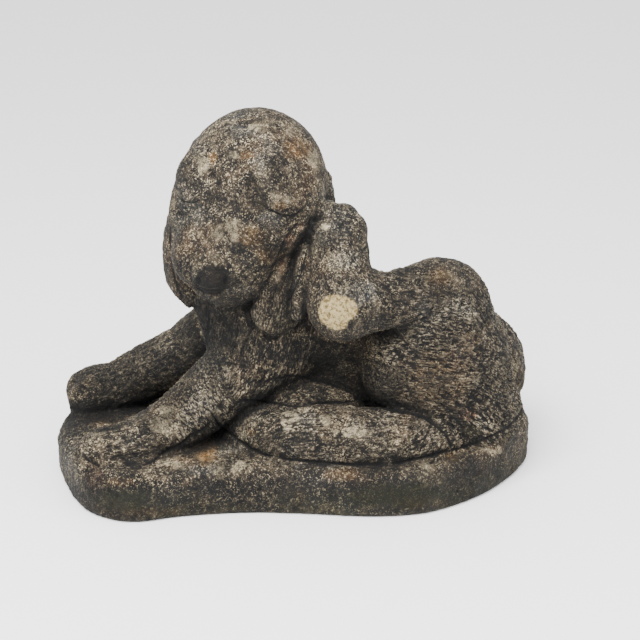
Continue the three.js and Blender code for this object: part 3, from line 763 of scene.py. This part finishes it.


# Stains and painted shade on the front drawing, by kind: strength, middle and half sizes
STAINS_AND_SHADE = {
    # Dark stains, some of them painted shade: on the chest under the head, on the belly, under the far paw
    # and in the eye's hollow
    "dark_and_shade": [
        (0.9, 425, 272, 12, 8), (0.8, 486, 300, 7, 14), (0.6, 412, 347, 14, 14), (0.7, 452, 370, 6, 10),
        (0.5, 354, 218, 8, 16), (0.6, 105, 374, 34, 8), (0.9, 100, 408, 44, 8), (0.7, 125, 490, 50, 14),
        (0.7, 232, 488, 30, 10), (0.6, 395, 492, 70, 14), (0.35, 190, 184, 9, 6), (0.2, 257, 192, 5, 6),
        (0.3, 215, 181, 6, 7), (0.6, 66, 430, 9, 22), (0.6, 385, 322, 16, 8), (0.8, 330, 355, 26, 14),
        (0.7, 215, 330, 22, 22), (0.5, 300, 343, 14, 10), (0.6, 452, 425, 14, 9), (0.5, 470, 330, 8, 8),
        (0.25, 255, 205, 8, 5), (0.5, 300, 270, 7, 20), (0.5, 250, 300, 10, 12), (0.4, 430, 345, 10, 8),
        (0.5, 200, 250, 5, 5), (0.5, 295, 395, 20, 6), (0.6, 455, 475, 8, 8), (0.5, 500, 470, 8, 8),
        (0.4, 320, 244, 8, 8), (0.5, 178, 160, 4, 14), (0.4, 105, 475, 10, 12), (0.6, 168, 350, 16, 12),
        (0.4, 235, 165, 12, 5),
    ],
    "pale": [
        (0.9, 203, 165, 7, 11), (0.8, 232, 155, 8, 5), (0.8, 255, 127, 7, 5), (0.8, 313, 158, 6, 9),
        (0.8, 161, 425, 17, 9), (0.7, 165, 411, 9, 7), (0.7, 184, 418, 8, 5), (0.9, 289, 419, 9, 9),
        (0.7, 330, 421, 10, 7), (0.8, 350, 433, 18, 5), (0.5, 103, 437, 15, 6), (0.7, 240, 467, 13, 6),
        (0.7, 219, 472, 8, 8), (0.6, 176, 466, 11, 6), (0.6, 275, 320, 16, 11), (0.7, 406, 279, 7, 4),
        (0.6, 425, 287, 5, 4), (0.7, 439, 347, 5, 5), (0.5, 418, 331, 10, 5), (0.6, 388, 440, 13, 6),
        (0.5, 430, 465, 14, 4), (0.4, 337, 262, 10, 12), (0.4, 345, 285, 14, 8), (0.6, 326, 227, 5, 4),
        (0.4, 290, 128, 10, 6), (0.4, 225, 125, 12, 8), (0.5, 205, 240, 8, 8), (0.5, 228, 232, 20, 12),
        (0.5, 175, 205, 3, 9), (0.5, 282, 200, 12, 8), (0.5, 318, 195, 6, 8), (0.4, 125, 437, 10, 6),
        (0.4, 455, 455, 12, 5), (0.4, 495, 450, 10, 6), (0.6, 233, 392, 7, 5), (0.4, 200, 395, 10, 8),
    ],
    "ochre": [
        (1.2, 206, 451, 10, 12), (0.7, 213, 157, 5, 5), (0.7, 246, 155, 6, 4), (0.7, 298, 150, 13, 10),
        (0.6, 440, 277, 14, 8), (0.6, 279, 206, 7, 4), (0.5, 400, 395, 10, 6), (0.7, 452, 456, 6, 4),
        (0.6, 251, 432, 4, 4), (0.5, 120, 482, 14, 5), (0.6, 440, 380, 34, 26), (0.5, 250, 238, 14, 10),
        (0.5, 470, 345, 12, 14), (0.5, 150, 512, 30, 5), (0.5, 420, 503, 30, 5), (0.5, 340, 475, 20, 6),
        (0.4, 265, 255, 8, 8), (0.4, 100, 420, 12, 6),
    ],
    "rust": [
        (0.9, 468, 414, 8, 6), (0.6, 283, 264, 3, 12), (0.6, 290, 241, 4, 8), (0.4, 300, 228, 4, 5),
        (0.5, 455, 365, 5, 8), (0.4, 95, 480, 8, 12),
    ],
    "cool": [
        (0.8, 240, 130, 14, 7), (0.6, 362, 292, 18, 12), (0.6, 326, 238, 10, 8), (0.7, 425, 312, 8, 12),
        (0.6, 250, 410, 14, 8), (0.7, 408, 331, 14, 6), (0.5, 335, 185, 5, 12), (0.5, 180, 200, 6, 30),
        (0.5, 270, 222, 12, 8), (0.5, 495, 305, 6, 10), (0.4, 505, 350, 8, 14), (0.5, 240, 290, 14, 5),
        (0.5, 200, 470, 20, 6), (0.5, 340, 380, 8, 6), (0.4, 450, 385, 30, 16),
    ],
    "green": [
        (1.0, 125, 500, 30, 10), (1.0, 400, 496, 60, 12), (0.6, 472, 432, 8, 5), (0.5, 225, 508, 30, 6),
        (0.4, 510, 440, 6, 8), (0.5, 300, 500, 30, 8),
    ],
    # Wet stains, partly painted shade: on the chest, the belly, under the far paw and along the plinth's
    # sides
    "wet_and_shade": [
        (0.7, 135, 375, 75, 42), (1.0, 82, 416, 46, 18), (0.7, 115, 502, 66, 26), (0.5, 240, 496, 100, 24),
        (0.6, 420, 488, 150, 32), (1.0, 210, 335, 40, 42), (0.8, 300, 352, 26, 12),
        (0.45, 440, 282, 56, 26), (0.35, 500, 350, 36, 60), (0.7, 325, 352, 28, 14),
        (0.45, 430, 375, 70, 50), (0.3, 300, 330, 20, 20), (0.25, 180, 190, 16, 40),
    ],
}
STAIN_RAGGED = 0.45  # how far noise breaks a stain's edge, as a share of its half sizes
STAIN_EDGES = (1.5, 0.55)  # where a stain ends and where it is full, as shares of its half sizes
STAIN_REACH = 2


def stains_and_shade(place, ragged):
    """How strongly each kind of stain and painted shade lies on the points of the front drawing."""
    found = {kind: np.zeros(len(place)) for kind in STAINS_AND_SHADE}
    for kind, marks in STAINS_AND_SHADE.items():
        for strength, x, y, half_x, half_y in marks:
            off = np.abs((place - (x, y)) / (half_x, half_y))
            near = (off < STAIN_REACH).all(1)
            r = np.hypot(*off[near].T) + STAIN_RAGGED * ragged[near]
            found[kind][near] = np.maximum(found[kind][near], strength * smooth_step(*STAIN_EDGES, r))
    return found


# Hair
# Regions of carved hair: centre, radius, the direction that the strokes run in, and their depth in mm
HAIR = [
    ((44, -20, 24), 24, (0.95, -0.1, -0.1), 1.0),
    ((30, -20, 14), 16, (1, 0, 0.1), 1.0),
    ((60, -12, 14), 20, (0.75, 0.1, -0.6), 1.0),
    ((56, -8, 34), 16, (0.6, 0.1, -0.8), 0.7),
    ((30, -17, 45), 14, (1, 0, -0.25), 0.6),
    ((14, -22, 52), 14, (0.15, 0.2, -1), 0.5),
    ((-30, -16, 10), 20, (-0.5, -0.2, 0.85), 0.8),
    ((-14, -13, 18), 14, (-0.5, -0.1, -0.85), 0.9),
    ((-50, -24, 2), 16, (-1, -0.2, -0.1), 0.5),
    ((-45, 10, 12), 22, (-0.9, 0.1, -0.5), 0.6),
    ((20, -28, 4), 30, (-1, 0.15, -0.3), 0.6),
    ((40, -28, 4), 14, (0.9, 0.15, 0.45), 0.9),
    ((-10, -10, 30), 17, (-0.2, -0.1, -1), 0.9),
    ((-24, -6, 44), 12, (-0.1, 0, -1), 0.8),
    ((0, 12, 45), 24, (0.5, 0.2, -0.8), 0.6),
    ((30, 24, 25), 30, (0.9, 0.2, -0.4), 0.7),
    ((70, 14, 16), 16, (0.2, 0.3, -0.9), 0.6),
]
HAIR_REACH = (1.5, 0.3)  # shares of a region's radius where its pull ends and where it is full
STROKE_LONG = 8.0  # mm, as are the sizes of the strands
STROKE_WIDE = 2.2
STROKE_TAPS = 7  # samples along a stroke
STROKE_GAIN = 0.45
STROKE_LIMIT = 1.3
STRAND_LONG = 5.5
STRAND_WIDE = 1.45
STRAND_SIDE = (0.2, 0.9, 0.35)  # no strand runs this way, so it tells what lies across them
STRAND_START = (-1.0, 1.5)  # heights over the plinth, in grid units, where strands begin
HAIR_BEND = (30, 1, 50)  # noise that bends the strokes: wavelength in grid units, octaves, first seed
HAIR_COVER = 3  # how fast strokes reach their depth at the edge of the hair
STRAND_COVER = 2.5
STROKE_SEED = 100
STRAND_SHIFT = 7.3  # moves each region's strands away from the others


def hair_weights(p):
    """How much each region of hair counts at each point."""
    return [smooth_step(*HAIR_REACH, length(p - np.array(centre)) / radius) for centre, radius, _, _ in HAIR]


def direction(run):
    return np.array(run, float) / np.linalg.norm(run)


def hair(p):
    """Carved strokes, in mm, where each point's hair is combed by the nearest regions."""
    combed = np.zeros_like(p)
    depth = np.zeros(len(p))
    total = np.full(len(p), 1e-6)
    for weight, (_, _, run, deep) in zip(hair_weights(p), HAIR):
        weight = weight**2
        combed += weight[:, None] * direction(run)
        depth += weight * deep
        total += weight
    depth /= total
    cover = np.minimum(total * HAIR_COVER, 1)
    # Strokes: noise that is averaged along the combing direction
    wavelength, count, seed = HAIR_BEND
    bend = np.stack([octaves(p, wavelength, count, seed + axis) for axis in range(3)], 1) * 0.5
    combed = unit_rows(unit_rows(combed) + bend)
    stroke = np.zeros(len(p))
    for tap in range(STROKE_TAPS):
        along = (tap - (STROKE_TAPS - 1) / 2) * STROKE_LONG * MM / (STROKE_TAPS - 1)
        stroke += noise((p + combed * along) * 2 / (STROKE_WIDE * MM), STROKE_SEED)
    stroke /= STROKE_TAPS**0.5 * STROKE_GAIN
    return np.clip(stroke, -STROKE_LIMIT, STROKE_LIMIT) * depth * cover


def combing(p):
    """Places along and across the hair of the region that counts most, and how strongly it is carved."""
    weights = np.stack(hair_weights(p), 1)
    region = weights.argmax(1)
    frames = []
    for _, _, run, _ in HAIR:
        run = direction(run)
        across = np.cross(run, STRAND_SIDE)
        across /= np.linalg.norm(across)
        frames.append((run / STRAND_LONG, across / STRAND_WIDE, np.cross(run, across) / STRAND_WIDE))
    strands = np.einsum("nij,nj->ni", np.array(frames)[region], p / MM)
    depths = np.array([deep for _, _, _, deep in HAIR])
    strength = np.minimum(weights.max(1) * STRAND_COVER, 1) * depths[region]
    return strands + region[:, None] * STRAND_SHIFT, strength


# Balls round the face, in grid units: middle, and the distances over which what it does there fades
SMOOTH_FACE = ((-18, -14, 72), (24, 17))  # worn smoother than the coat
BARE_FACE = ((-18, -14, 74), (26, 18))  # without strands
FINE_FACE = ((-18, -16, 72), 22)  # sculpted on finer cells
EAR_BALL = ((0, -12, 50), (14, 8))
EAR_SQUASH = (1, 1, 0.6)
PLINTH_SKIN = (46, 42)  # mm over the ground between which the coat gives way to the plinth's roughness
UNDERSIDE_FADE = (0.2, 4)  # mm over the ground between which the flat underside gives way to relief
LINE_CLEAR = 1.2  # mm of drawn line beside which there are no strokes


def relief(p, world, normal):
    """Height of the fine relief over the form, in mm."""
    z_mm = world[:, 2] * 1000
    place, depth = on_drawing(world)
    seen = in_front(place, depth, normal, world)
    lines, _ = drawn(place)
    lines = lines * seen
    plain = np.minimum(np.abs(lines) / LINE_CLEAR, 1)
    on_plinth = smooth_step(*PLINTH_SKIN, z_mm)
    face = smooth_step(*SMOOTH_FACE[1], length(p - np.array(SMOOTH_FACE[0])))
    ear = smooth_step(*EAR_BALL[1], length((p - np.array(EAR_BALL[0])) * EAR_SQUASH))
    strokes = hair(p) * (1 - on_plinth) * (1 - 0.85 * face) * (1 - 0.5 * ear)
    # Each noise: height and wavelength in mm, octaves, seed
    rough = 0.45 * octaves(p, 15 * MM, 2, 3) + 0.4 * octaves(p, 4.2 * MM, 1, 11)
    lumps = 0.9 * octaves(p, 48 * MM, 2, 21)
    pits = -1.6 * smooth_step(0.4, 0.75, octaves(p, 6.5 * MM, 2, 31))
    pits *= 0.35 + 0.65 * smooth_step(-0.2, 0.5, octaves(p, 40 * MM, 1, 33))
    casting = on_plinth * 0.6 * octaves(p, 9 * MM, 2, 41)
    total = strokes * (1 - plain) + rough + lumps + pits * (1 - 0.5 * face) + casting
    return (total + lines) * smooth_step(*UNDERSIDE_FADE, z_mm)


# The piece
PIECE = "spaniel_statue_carved"
GRID_MARGIN = 2.5  # cells beyond the solid's box
LEAST_LINE = 0.08  # mm of drawn line that calls for finer cells
# Painted shade of hollows, darker where more of the form lies close round a vertex
SHADE_REACHES = (1.2, 2.6, 5.5, 11)  # distances at which a hollow is felt, in grid units
SHADE_WEIGHT = 0.8
SHADE_FULL = 2.4
RELIEF_RANGE = 3.2  # mm of relief that the colour tells apart
STAIN_NOISE = (11, 3, 61)  # wavelength in mm, octaves, seed
NOSE_PLACE = (212, 280)  # on the front drawing
NOSE_HALF = (17.5, 14)
NOSE_RAGGED = 0.15


def refined(points, quads, wanted):
    """Halves the cells round the vertices that are wanted finer."""
    mesh = bmesh.new()
    vertices = [mesh.verts.new(p) for p in points]
    for quad in quads:
        mesh.faces.new([vertices[i] for i in quad])
    mesh.verts.index_update()
    edges = {e for f in mesh.faces if all(wanted[v.index] for v in f.verts) for e in f.edges}
    bmesh.ops.subdivide_edges(mesh, edges=list(edges), cuts=1, use_grid_fill=True)
    bmesh.ops.triangulate(mesh, faces=mesh.faces[:])
    mesh.verts.index_update()
    places = np.array([v.co[:] for v in mesh.verts])
    faces = np.array([[v.index for v in f.verts] for f in mesh.faces])
    mesh.free()
    return places, faces


def unit_rows(vectors):
    return vectors / np.maximum(length(vectors), 1e-6)[:, None]


def normals_of(form, points):
    return unit_rows(slope(form, points)[1])


def in_world(points):
    return points * UNIT + GRID_ORIGIN


def build_statue():
    """The carved statue as a mesh, and the form that it was carved from."""
    form = statue()
    margin = GRID_MARGIN * CELL
    low = (np.array(lowest) - GRID_ORIGIN) / UNIT - margin
    high = (np.array(highest) - GRID_ORIGIN) / UNIT + margin
    points, quads = mesh_of(form, low, high, CELL)
    points = settled(form, points, 1)
    world = in_world(points)
    place, depth = on_drawing(world)
    seen = in_front(place, depth, normals_of(form, points), world) > SEEN_ENOUGH
    lines, _ = drawn(place)
    middle, reach = FINE_FACE
    face = length(points - np.array(middle)) < reach
    fine = seen & ((np.abs(lines) > LEAST_LINE) | face)
    points, faces = refined(points, quads, fine)
    points = settled(form, points, 2)
    normal = normals_of(form, points)
    points = points + normal * (relief(points, in_world(points), normal) * MM)[:, None]
    world = in_world(chipped(points))
    world[:, 2] = np.maximum(world[:, 2], 0)

    mesh = bpy.data.meshes.new(PIECE)
    mesh.vertices.add(len(world))
    mesh.vertices.foreach_set("co", world.ravel())
    mesh.loops.add(faces.size)
    mesh.loops.foreach_set("vertex_index", faces.ravel())
    mesh.polygons.add(len(faces))
    mesh.polygons.foreach_set("loop_start", np.arange(0, faces.size, 3))
    mesh.polygons.foreach_set("loop_total", np.full(len(faces), 3))
    mesh.update(calc_edges=True)
    mesh.validate()
    piece = bpy.data.objects.new(PIECE, mesh)
    bpy.context.collection.objects.link(piece)

    thin = piece.modifiers.new("fewer_faces", "DECIMATE")
    thin.ratio = min(1.0, FACES_WANTED / len(faces))
    evaluated = piece.evaluated_get(bpy.context.evaluated_depsgraph_get())
    thinned = bpy.data.meshes.new_from_object(evaluated)
    piece.modifiers.clear()
    piece.data = thinned
    thinned.name = PIECE
    thinned.polygons.foreach_set("use_smooth", np.ones(len(thinned.polygons), bool))
    return piece, form


# The fresh break on the hock, on the front drawing
CHIP_OUTLINE = [
    (333, 294), (345, 296), (355, 302), (359, 310), (355, 316), (349, 320),
    (346, 328), (338, 330), (328, 328), (320, 320), (318, 312), (320, 303), (326, 296),
]
CHIP_CUT = 0.9  # depth of the break under the skin round it, in mm
CHIP_RUN = (0, 0.9, -0.3)  # the direction that it is cut in
HOCK_MIDDLE = 13  # where the hock lies, in grid units
HOCK_HALF_WIDTH = 14
HOCK_FRONT = -24
HOCK_HEIGHTS = (34, 58)


def chip_inset(place):
    """How far a point of the front drawing lies inside the chip's outline."""
    return -outline_distance(np.array(CHIP_OUTLINE, float), *place.T)


def on_hock(p):
    x, y, z = p.T
    low, high = HOCK_HEIGHTS
    return (y < HOCK_FRONT) & (z > low) & (z < high) & (np.abs(x - HOCK_MIDDLE) < HOCK_HALF_WIDTH)


def chipped(points):
    """Sinks the break a little below the skin round it."""
    place, _ = on_drawing(in_world(points))
    inset = chip_inset(place)
    inside = smooth_step(-0.6, 1.2, inset) * on_hock(points)
    return points + (inside * CHIP_CUT * MM)[:, None] * np.array(CHIP_RUN)


def surface_facts(piece, form):
    """Keeps on each vertex what the stone's colour depends on."""
    mesh = piece.data
    count = len(mesh.vertices)
    world = np.empty(count * 3)
    mesh.vertices.foreach_get("co", world)
    world = world.reshape(-1, 3)
    p = (world - GRID_ORIGIN) / UNIT
    d, gradient = slope(form, p)
    normal = unit_rows(gradient)
    # Painted shade: how closed in each vertex is by the form round it
    shade = np.zeros(count)
    for reach in SHADE_REACHES:
        shade += SHADE_WEIGHT * np.clip(1 - form(p + normal * reach) / reach, 0, 1)
    place, depth = on_drawing(world)
    seen = in_front(place, depth, normal, world)
    _, groove_dark = drawn(place)
    wavelength, count, seed = STAIN_NOISE
    ragged = octaves(p, wavelength * MM, count, seed)
    nose_reach = np.hypot(*((place - NOSE_PLACE) / NOSE_HALF).T) + NOSE_RAGGED * ragged
    facts = {
        "shade": np.clip(shade / SHADE_FULL, 0, 1),
        "relief_height": np.clip(0.5 + d / MM / RELIEF_RANGE, 0, 1),
        # Dirt and painted shade in the drawn grooves
        "groove_dirt_and_shade": groove_dark * seen,
        "nose": smooth_step(1.15, 0.85, nose_reach) * seen,
        # Painted shade, darker round the rim of the rounded nose
        "nose_rim_shade": smooth_step(0.25, 0.85, nose_reach) * smooth_step(1.15, 0.9, nose_reach) * seen,
        "chip": smooth_step(-0.4, 0.6, chip_inset(place)) * on_hock(p) * seen,
    }
    for kind, found in stains_and_shade(place, ragged).items():
        facts["stain_" + kind] = found * seen
    strands, strength = combing(p)
    middle, fading = BARE_FACE
    bare = smooth_step(*fading, length(p - np.array(middle)))
    facts["strand_strength"] = strength * (1 - 0.8 * bare) * smooth_step(*STRAND_START, p[:, 2])
    layer = mesh.attributes.new("strands", "FLOAT_VECTOR", "POINT")
    layer.data.foreach_set("vector", strands.astype(np.float32).ravel())
    for name, values in facts.items():
        layer = mesh.attributes.new(name, "FLOAT", "POINT")
        layer.data.foreach_set("value", np.asarray(values, np.float32))


# The stone
class Nodes:
    """Short ways to add nodes to a material and join them."""

    def __init__(self, tree):
        self.tree = tree

    def add(self, kind, **values):
        """A node with the values fed to its inputs, where _ in a name stands for a space."""
        node = self.tree.nodes.new("ShaderNode" + kind)
        for name, value in values.items():
            self.feed(node.inputs[name.replace("_", " ")], value)
        return node

    def feed(self, socket, value):
        if isinstance(value, bpy.types.NodeSocket):
            self.tree.links.new(value, socket)
        else:
            socket.default_value = value

    def attribute(self, name, output="Fac"):
        node = self.add("Attribute")
        node.attribute_name = name
        return node.outputs[output]

    def noise(self, place, scale, detail, rough, distortion=0.0):
        look = {"Scale": scale, "Detail": detail, "Roughness": rough, "Distortion": distortion}
        return self.add("TexNoise", Vector=place, **look).outputs["Fac"]

    def steps(self, value, low, high, to_low=0.0, to_high=1.0):
        node = self.add("MapRange", Value=value, From_Min=low, From_Max=high, To_Min=to_low, To_Max=to_high)
        node.interpolation_type = "SMOOTHSTEP"
        return node.outputs["Result"]

    def math(self, how, a, b):
        node = self.add("Math")
        node.operation = how
        self.feed(node.inputs[0], a)
        self.feed(node.inputs[1], b)
        return node.outputs[0]

    def times(self, a, b):
        return self.math("MULTIPLY", a, b)

    def plus(self, a, b):
        return self.math("ADD", a, b)

    def mix(self, factor, a, b, how="MIX"):
        node = self.add("Mix")
        node.data_type = "RGBA"
        node.blend_type = how
        for name, value in (("Factor", factor), ("A", a), ("B", b)):
            self.feed(node.inputs[name], value)
        return node.outputs["Result"]


def srgb(*colour):
    shares = [value / 255 for value in colour]
    return (*[s / 12.92 if s <= 0.04045 else ((s + 0.055) / 1.055) ** 2.4 for s in shares], 1.0)


# Noises over the stone: scale, detail, roughness and distortion
STONE_NOISE = {
    "grain": (1500, 1.0, 0.6), "grit": (800, 2.0, 0.6), "mottle": (110, 4.0, 0.65, 0.5),
    "clump": (330, 3.0, 0.65, 0.4), "patch": (16, 5.0, 0.6, 0.6), "cool": (21, 4.0, 0.6),
    "growth": (30, 6.0, 0.74, 0.5), "lichen": (38, 6.0, 0.76, 0.8), "broad": (6, 3.0, 0.5),
    "tone": (42, 3.0, 0.6, 0.6),
}
STRAND_NOISE = (1.0, 1.5, 0.5, 0.5)
# Colours of the stone before its contrast is raised
DARK_STONE = (52, 48, 43)
MID_STONE = (118, 109, 96)
BROWN_STONE = (108, 86, 62)
COOL_STONE = (92, 96, 98)
BLACK_GROWTH_AND_SHADE = (38, 35, 32)
COOL_STAIN = (104, 108, 112)
OCHRE_STAIN = (150, 120, 74)
RUST_STAIN = (118, 72, 46)
LICHEN = (186, 178, 160)
LIGHT_GRAIN = (200, 191, 172)
DARK_GRAIN = (22, 20, 18)
STRAND_DIRT = (24, 22, 20)
STRAND_WEAR = (186, 178, 162)
WORN_SKIN = (174, 166, 150)
PIT_DIRT_AND_SHADE = (22, 20, 18)
HOLLOW_SHADE_AND_DIRT = (24, 21, 19)
GROOVE_DIRT_AND_SHADE = (18, 16, 15)
ALGAE = (66, 68, 44)
NOSE_SKIN = (34, 27, 22)
NOSE_RIM_SHADE = (22, 19, 17)
BREAK_DARK = (138, 125, 96)
BREAK_PALE = (187, 176, 147)
BREAK_GRAIN = (120, 104, 78)
STONE_GAIN = (0.99, 0.97, 0.93)
STONE_CONTRAST = 1.7
STONE_SPECULAR = 0.3
BUMP_STRENGTH = 0.9
BUMP_DISTANCE = 0.0018


def stone():
    material = bpy.data.materials.new("weathered_cast_stone")
    material.use_nodes = True
    n = Nodes(material.node_tree)
    place = n.add("TexCoord").outputs["Object"]
    noises = {name: n.noise(place, *values) for name, values in STONE_NOISE.items()}
    grain, grit, clump, growth = (noises[name] for name in ("grain", "grit", "clump", "growth"))
    strand = n.noise(n.attribute("strands", "Vector"), *STRAND_NOISE)
    strand_strength = n.attribute("strand_strength")
    relief_height = n.attribute("relief_height")
    off_clump = n.math("SUBTRACT", clump, 0.5)
    clumped = n.times(off_clump, 0.7)
    uneven = n.times(off_clump, 0.8)

    def stain_and_shade_share(kind, share):
        return n.times(n.attribute("stain_" + kind), share)

    base = n.mix(n.steps(noises["mottle"], 0.4, 0.62), srgb(*DARK_STONE), srgb(*MID_STONE))
    # Coats over it, from the first to the last: how strongly each lies, and its colour
    coats = [
        (n.steps(noises["patch"], 0.48, 0.66, 0, 0.5), BROWN_STONE),
        (n.steps(noises["cool"], 0.5, 0.68, 0, 0.65), COOL_STONE),
        # Black growth, and dark stains that are partly painted shade
        (n.steps(n.plus(stain_and_shade_share("dark_and_shade", 0.3), growth), 0.54, 0.7, 0, 0.8), BLACK_GROWTH_AND_SHADE),
        (stain_and_shade_share("cool", 0.75), COOL_STAIN),
        (stain_and_shade_share("ochre", 0.72), OCHRE_STAIN),
        (stain_and_shade_share("rust", 0.85), RUST_STAIN),
        (n.steps(n.plus(stain_and_shade_share("pale", 0.27), noises["lichen"]), 0.58, 0.74, 0, 0.75), LICHEN),
        # Sand grains in clumps
        (n.steps(n.plus(grit, clumped), 0.52, 0.7, 0, 0.85), LIGHT_GRAIN),
        (n.steps(n.plus(grain, clumped), 0.5, 0.3, 0, 0.9), DARK_GRAIN),
        # Dirt between the strands of carved hair, wear along them
        (n.times(n.times(n.steps(strand, 0.5, 0.36), strand_strength), 0.8), STRAND_DIRT),
        (n.times(n.times(n.steps(strand, 0.54, 0.68), strand_strength), 0.75), STRAND_WEAR),
        # Wear on what stands proud; dirt and painted shade in pits, hollows and grooves
        (n.steps(relief_height, 0.52, 0.85, 0, 0.3), WORN_SKIN),
        # Dirt and painted shade in the pits and grooves of the relief
        (n.steps(relief_height, 0.44, 0.16, 0, 0.75), PIT_DIRT_AND_SHADE),
        # Painted shade and dirt in hollows and between parts
        (n.steps(n.plus(n.attribute("shade"), uneven), 0.25, 0.95, 0, 0.78), HOLLOW_SHADE_AND_DIRT),
        # Dirt and painted shade in the drawn grooves
        (n.steps(n.plus(n.attribute("groove_dirt_and_shade"), uneven), 0.35, 1.2, 0, 0.5), GROOVE_DIRT_AND_SHADE),
    ]
    for amount, colour in coats:
        base = n.mix(amount, base, srgb(*colour))

    # Faces that turn downward are darker, as painted shade and as rain wash on the tops; wet stains, which
    # also paint shade, and age darken it in patches
    facing = n.add("SeparateXYZ", Vector=n.add("NewGeometry").outputs["Normal"])
    # Painted shade: darker as a face turns downward
    shaded_and_weathered = n.steps(facing.outputs["Z"], -0.3, 0.75, 0.68, 1.0)
    # Wet stains, partly painted shade, darken it further
    shaded_and_weathered = n.times(shaded_and_weathered, n.steps(n.attribute("stain_wet_and_shade"), 0.0, 1.0, 1.0, 0.45))
    shaded_and_weathered = n.times(shaded_and_weathered, n.steps(noises["tone"], 0.3, 0.7, 0.62, 1.3))
    base = n.mix(1.0, base, shaded_and_weathered, "MULTIPLY")

    # Green algae low on the plinth, in metres over the ground
    low_down = n.steps(n.add("SeparateXYZ", Vector=place).outputs["Z"], 0.04, 0.008)
    algae = n.times(n.times(low_down, n.steps(noises["broad"], 0.42, 0.6)), 0.6)
    algae = n.math("MAXIMUM", algae, n.attribute("stain_green"))
    base = n.mix(n.times(algae, 0.55), base, srgb(*ALGAE))

    # The nose is dark, with painted shade darker round its rim, and the hock has lost its skin to show pale
    # stone
    base = n.mix(n.times(n.attribute("nose"), 0.72), base, srgb(*NOSE_SKIN))
    base = n.mix(n.times(n.attribute("nose_rim_shade"), 0.45), base, srgb(*NOSE_RIM_SHADE))
    fresh = n.mix(n.steps(clump, 0.36, 0.56), srgb(*BREAK_DARK), srgb(*BREAK_PALE))
    fresh = n.mix(n.steps(grain, 0.42, 0.3, 0, 0.6), fresh, srgb(*BREAK_GRAIN))
    base = n.mix(n.attribute("chip"), base, fresh)
    base = n.add("Gamma", Color=base, Gamma=STONE_CONTRAST).outputs["Color"]
    base = n.mix(1.0, base, (*STONE_GAIN, 1.0), "MULTIPLY")

    skin = n.plus(n.times(grit, 0.5), n.times(clump, 0.8))
    skin = n.plus(skin, n.times(n.times(strand, strand_strength), 1.2))
    bump = n.add("Bump", Strength=BUMP_STRENGTH, Distance=BUMP_DISTANCE, Height=skin)
    shader = material.node_tree.nodes["Principled BSDF"].inputs
    n.feed(shader["Base Color"], base)
    n.feed(shader["Metallic"], 0.0)
    n.feed(shader["Specular IOR Level"], STONE_SPECULAR)
    n.feed(shader["Roughness"], n.steps(growth, 0.4, 0.7, 0.95, 0.8))
    n.feed(shader["Normal"], bump.outputs["Normal"])
    return material


# The stage, in metres and watts
FLOOR_HALF = 6.0
FLOOR_COLOUR = (0.95, 0.95, 0.96, 1)
FLOOR_ROUGHNESS = 0.7
WORLD_COLOUR = (1, 1, 1, 1)
WORLD_STRENGTH = 1.85
SENSOR_WIDTH = 36
# Area lights: place, what they point at, size and power
LIGHTS = {
    "key": ((-0.6, -1.2, 1.8), (0, -0.3, 0.1), 1.3, 96),
    "fill": ((1.6, -1.0, 1.2), (0, 0, 0.15), 1.5, 18),
    "front": ((0.1, -1.1, 0.9), (0.05, -0.62, 0), 0.9, 7),
}


def add_object(name, data, place=(0, 0, 0), target=None):
    thing = bpy.data.objects.new(name, data)
    thing.location = place
    if target is not None:
        direction = Vector(target) - Vector(thing.location)
        thing.rotation_euler = direction.to_track_quat("-Z", "Y").to_euler()
    bpy.context.collection.objects.link(thing)
    return thing


def add_floor():
    mesh = bpy.data.meshes.new("floor")
    corners = [(x * FLOOR_HALF, y * FLOOR_HALF, 0) for x, y in ((-1, -1), (1, -1), (1, 1), (-1, 1))]
    mesh.from_pydata(corners, [], [(0, 1, 2, 3)])
    floor = add_object("floor", mesh)
    material = bpy.data.materials.new("pale_floor")
    material.use_nodes = True
    shader = material.node_tree.nodes["Principled BSDF"]
    shader.inputs["Base Color"].default_value = FLOOR_COLOUR
    shader.inputs["Roughness"].default_value = FLOOR_ROUGHNESS
    mesh.materials.append(material)


def add_lights():
    for name, (place, target, size, power) in LIGHTS.items():
        light = bpy.data.lights.new(name, "AREA")
        light.size = size
        light.energy = power
        add_object(name, light, place, target)


def add_camera():
    """At the place that the front drawing is made for."""
    data = bpy.data.cameras.new("camera")
    data.sensor_width = SENSOR_WIDTH
    data.lens = SENSOR_WIDTH * VIEW_FOCAL / DRAWING
    bpy.context.scene.camera = add_object("camera", data, VIEW_PLACE, VIEW_TARGET)


def add_world():
    world = bpy.data.worlds.new("studio")
    world.use_nodes = True
    background = world.node_tree.nodes["Background"]
    background.inputs["Color"].default_value = WORLD_COLOUR
    background.inputs["Strength"].default_value = WORLD_STRENGTH
    bpy.context.scene.world = world


add_camera()
add_world()
add_floor()
add_lights()

statue_piece, statue_form = build_statue()
surface_facts(statue_piece, statue_form)
statue_piece.data.materials.append(stone())
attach(statue_piece, "root")
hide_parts("spaniel_statue")
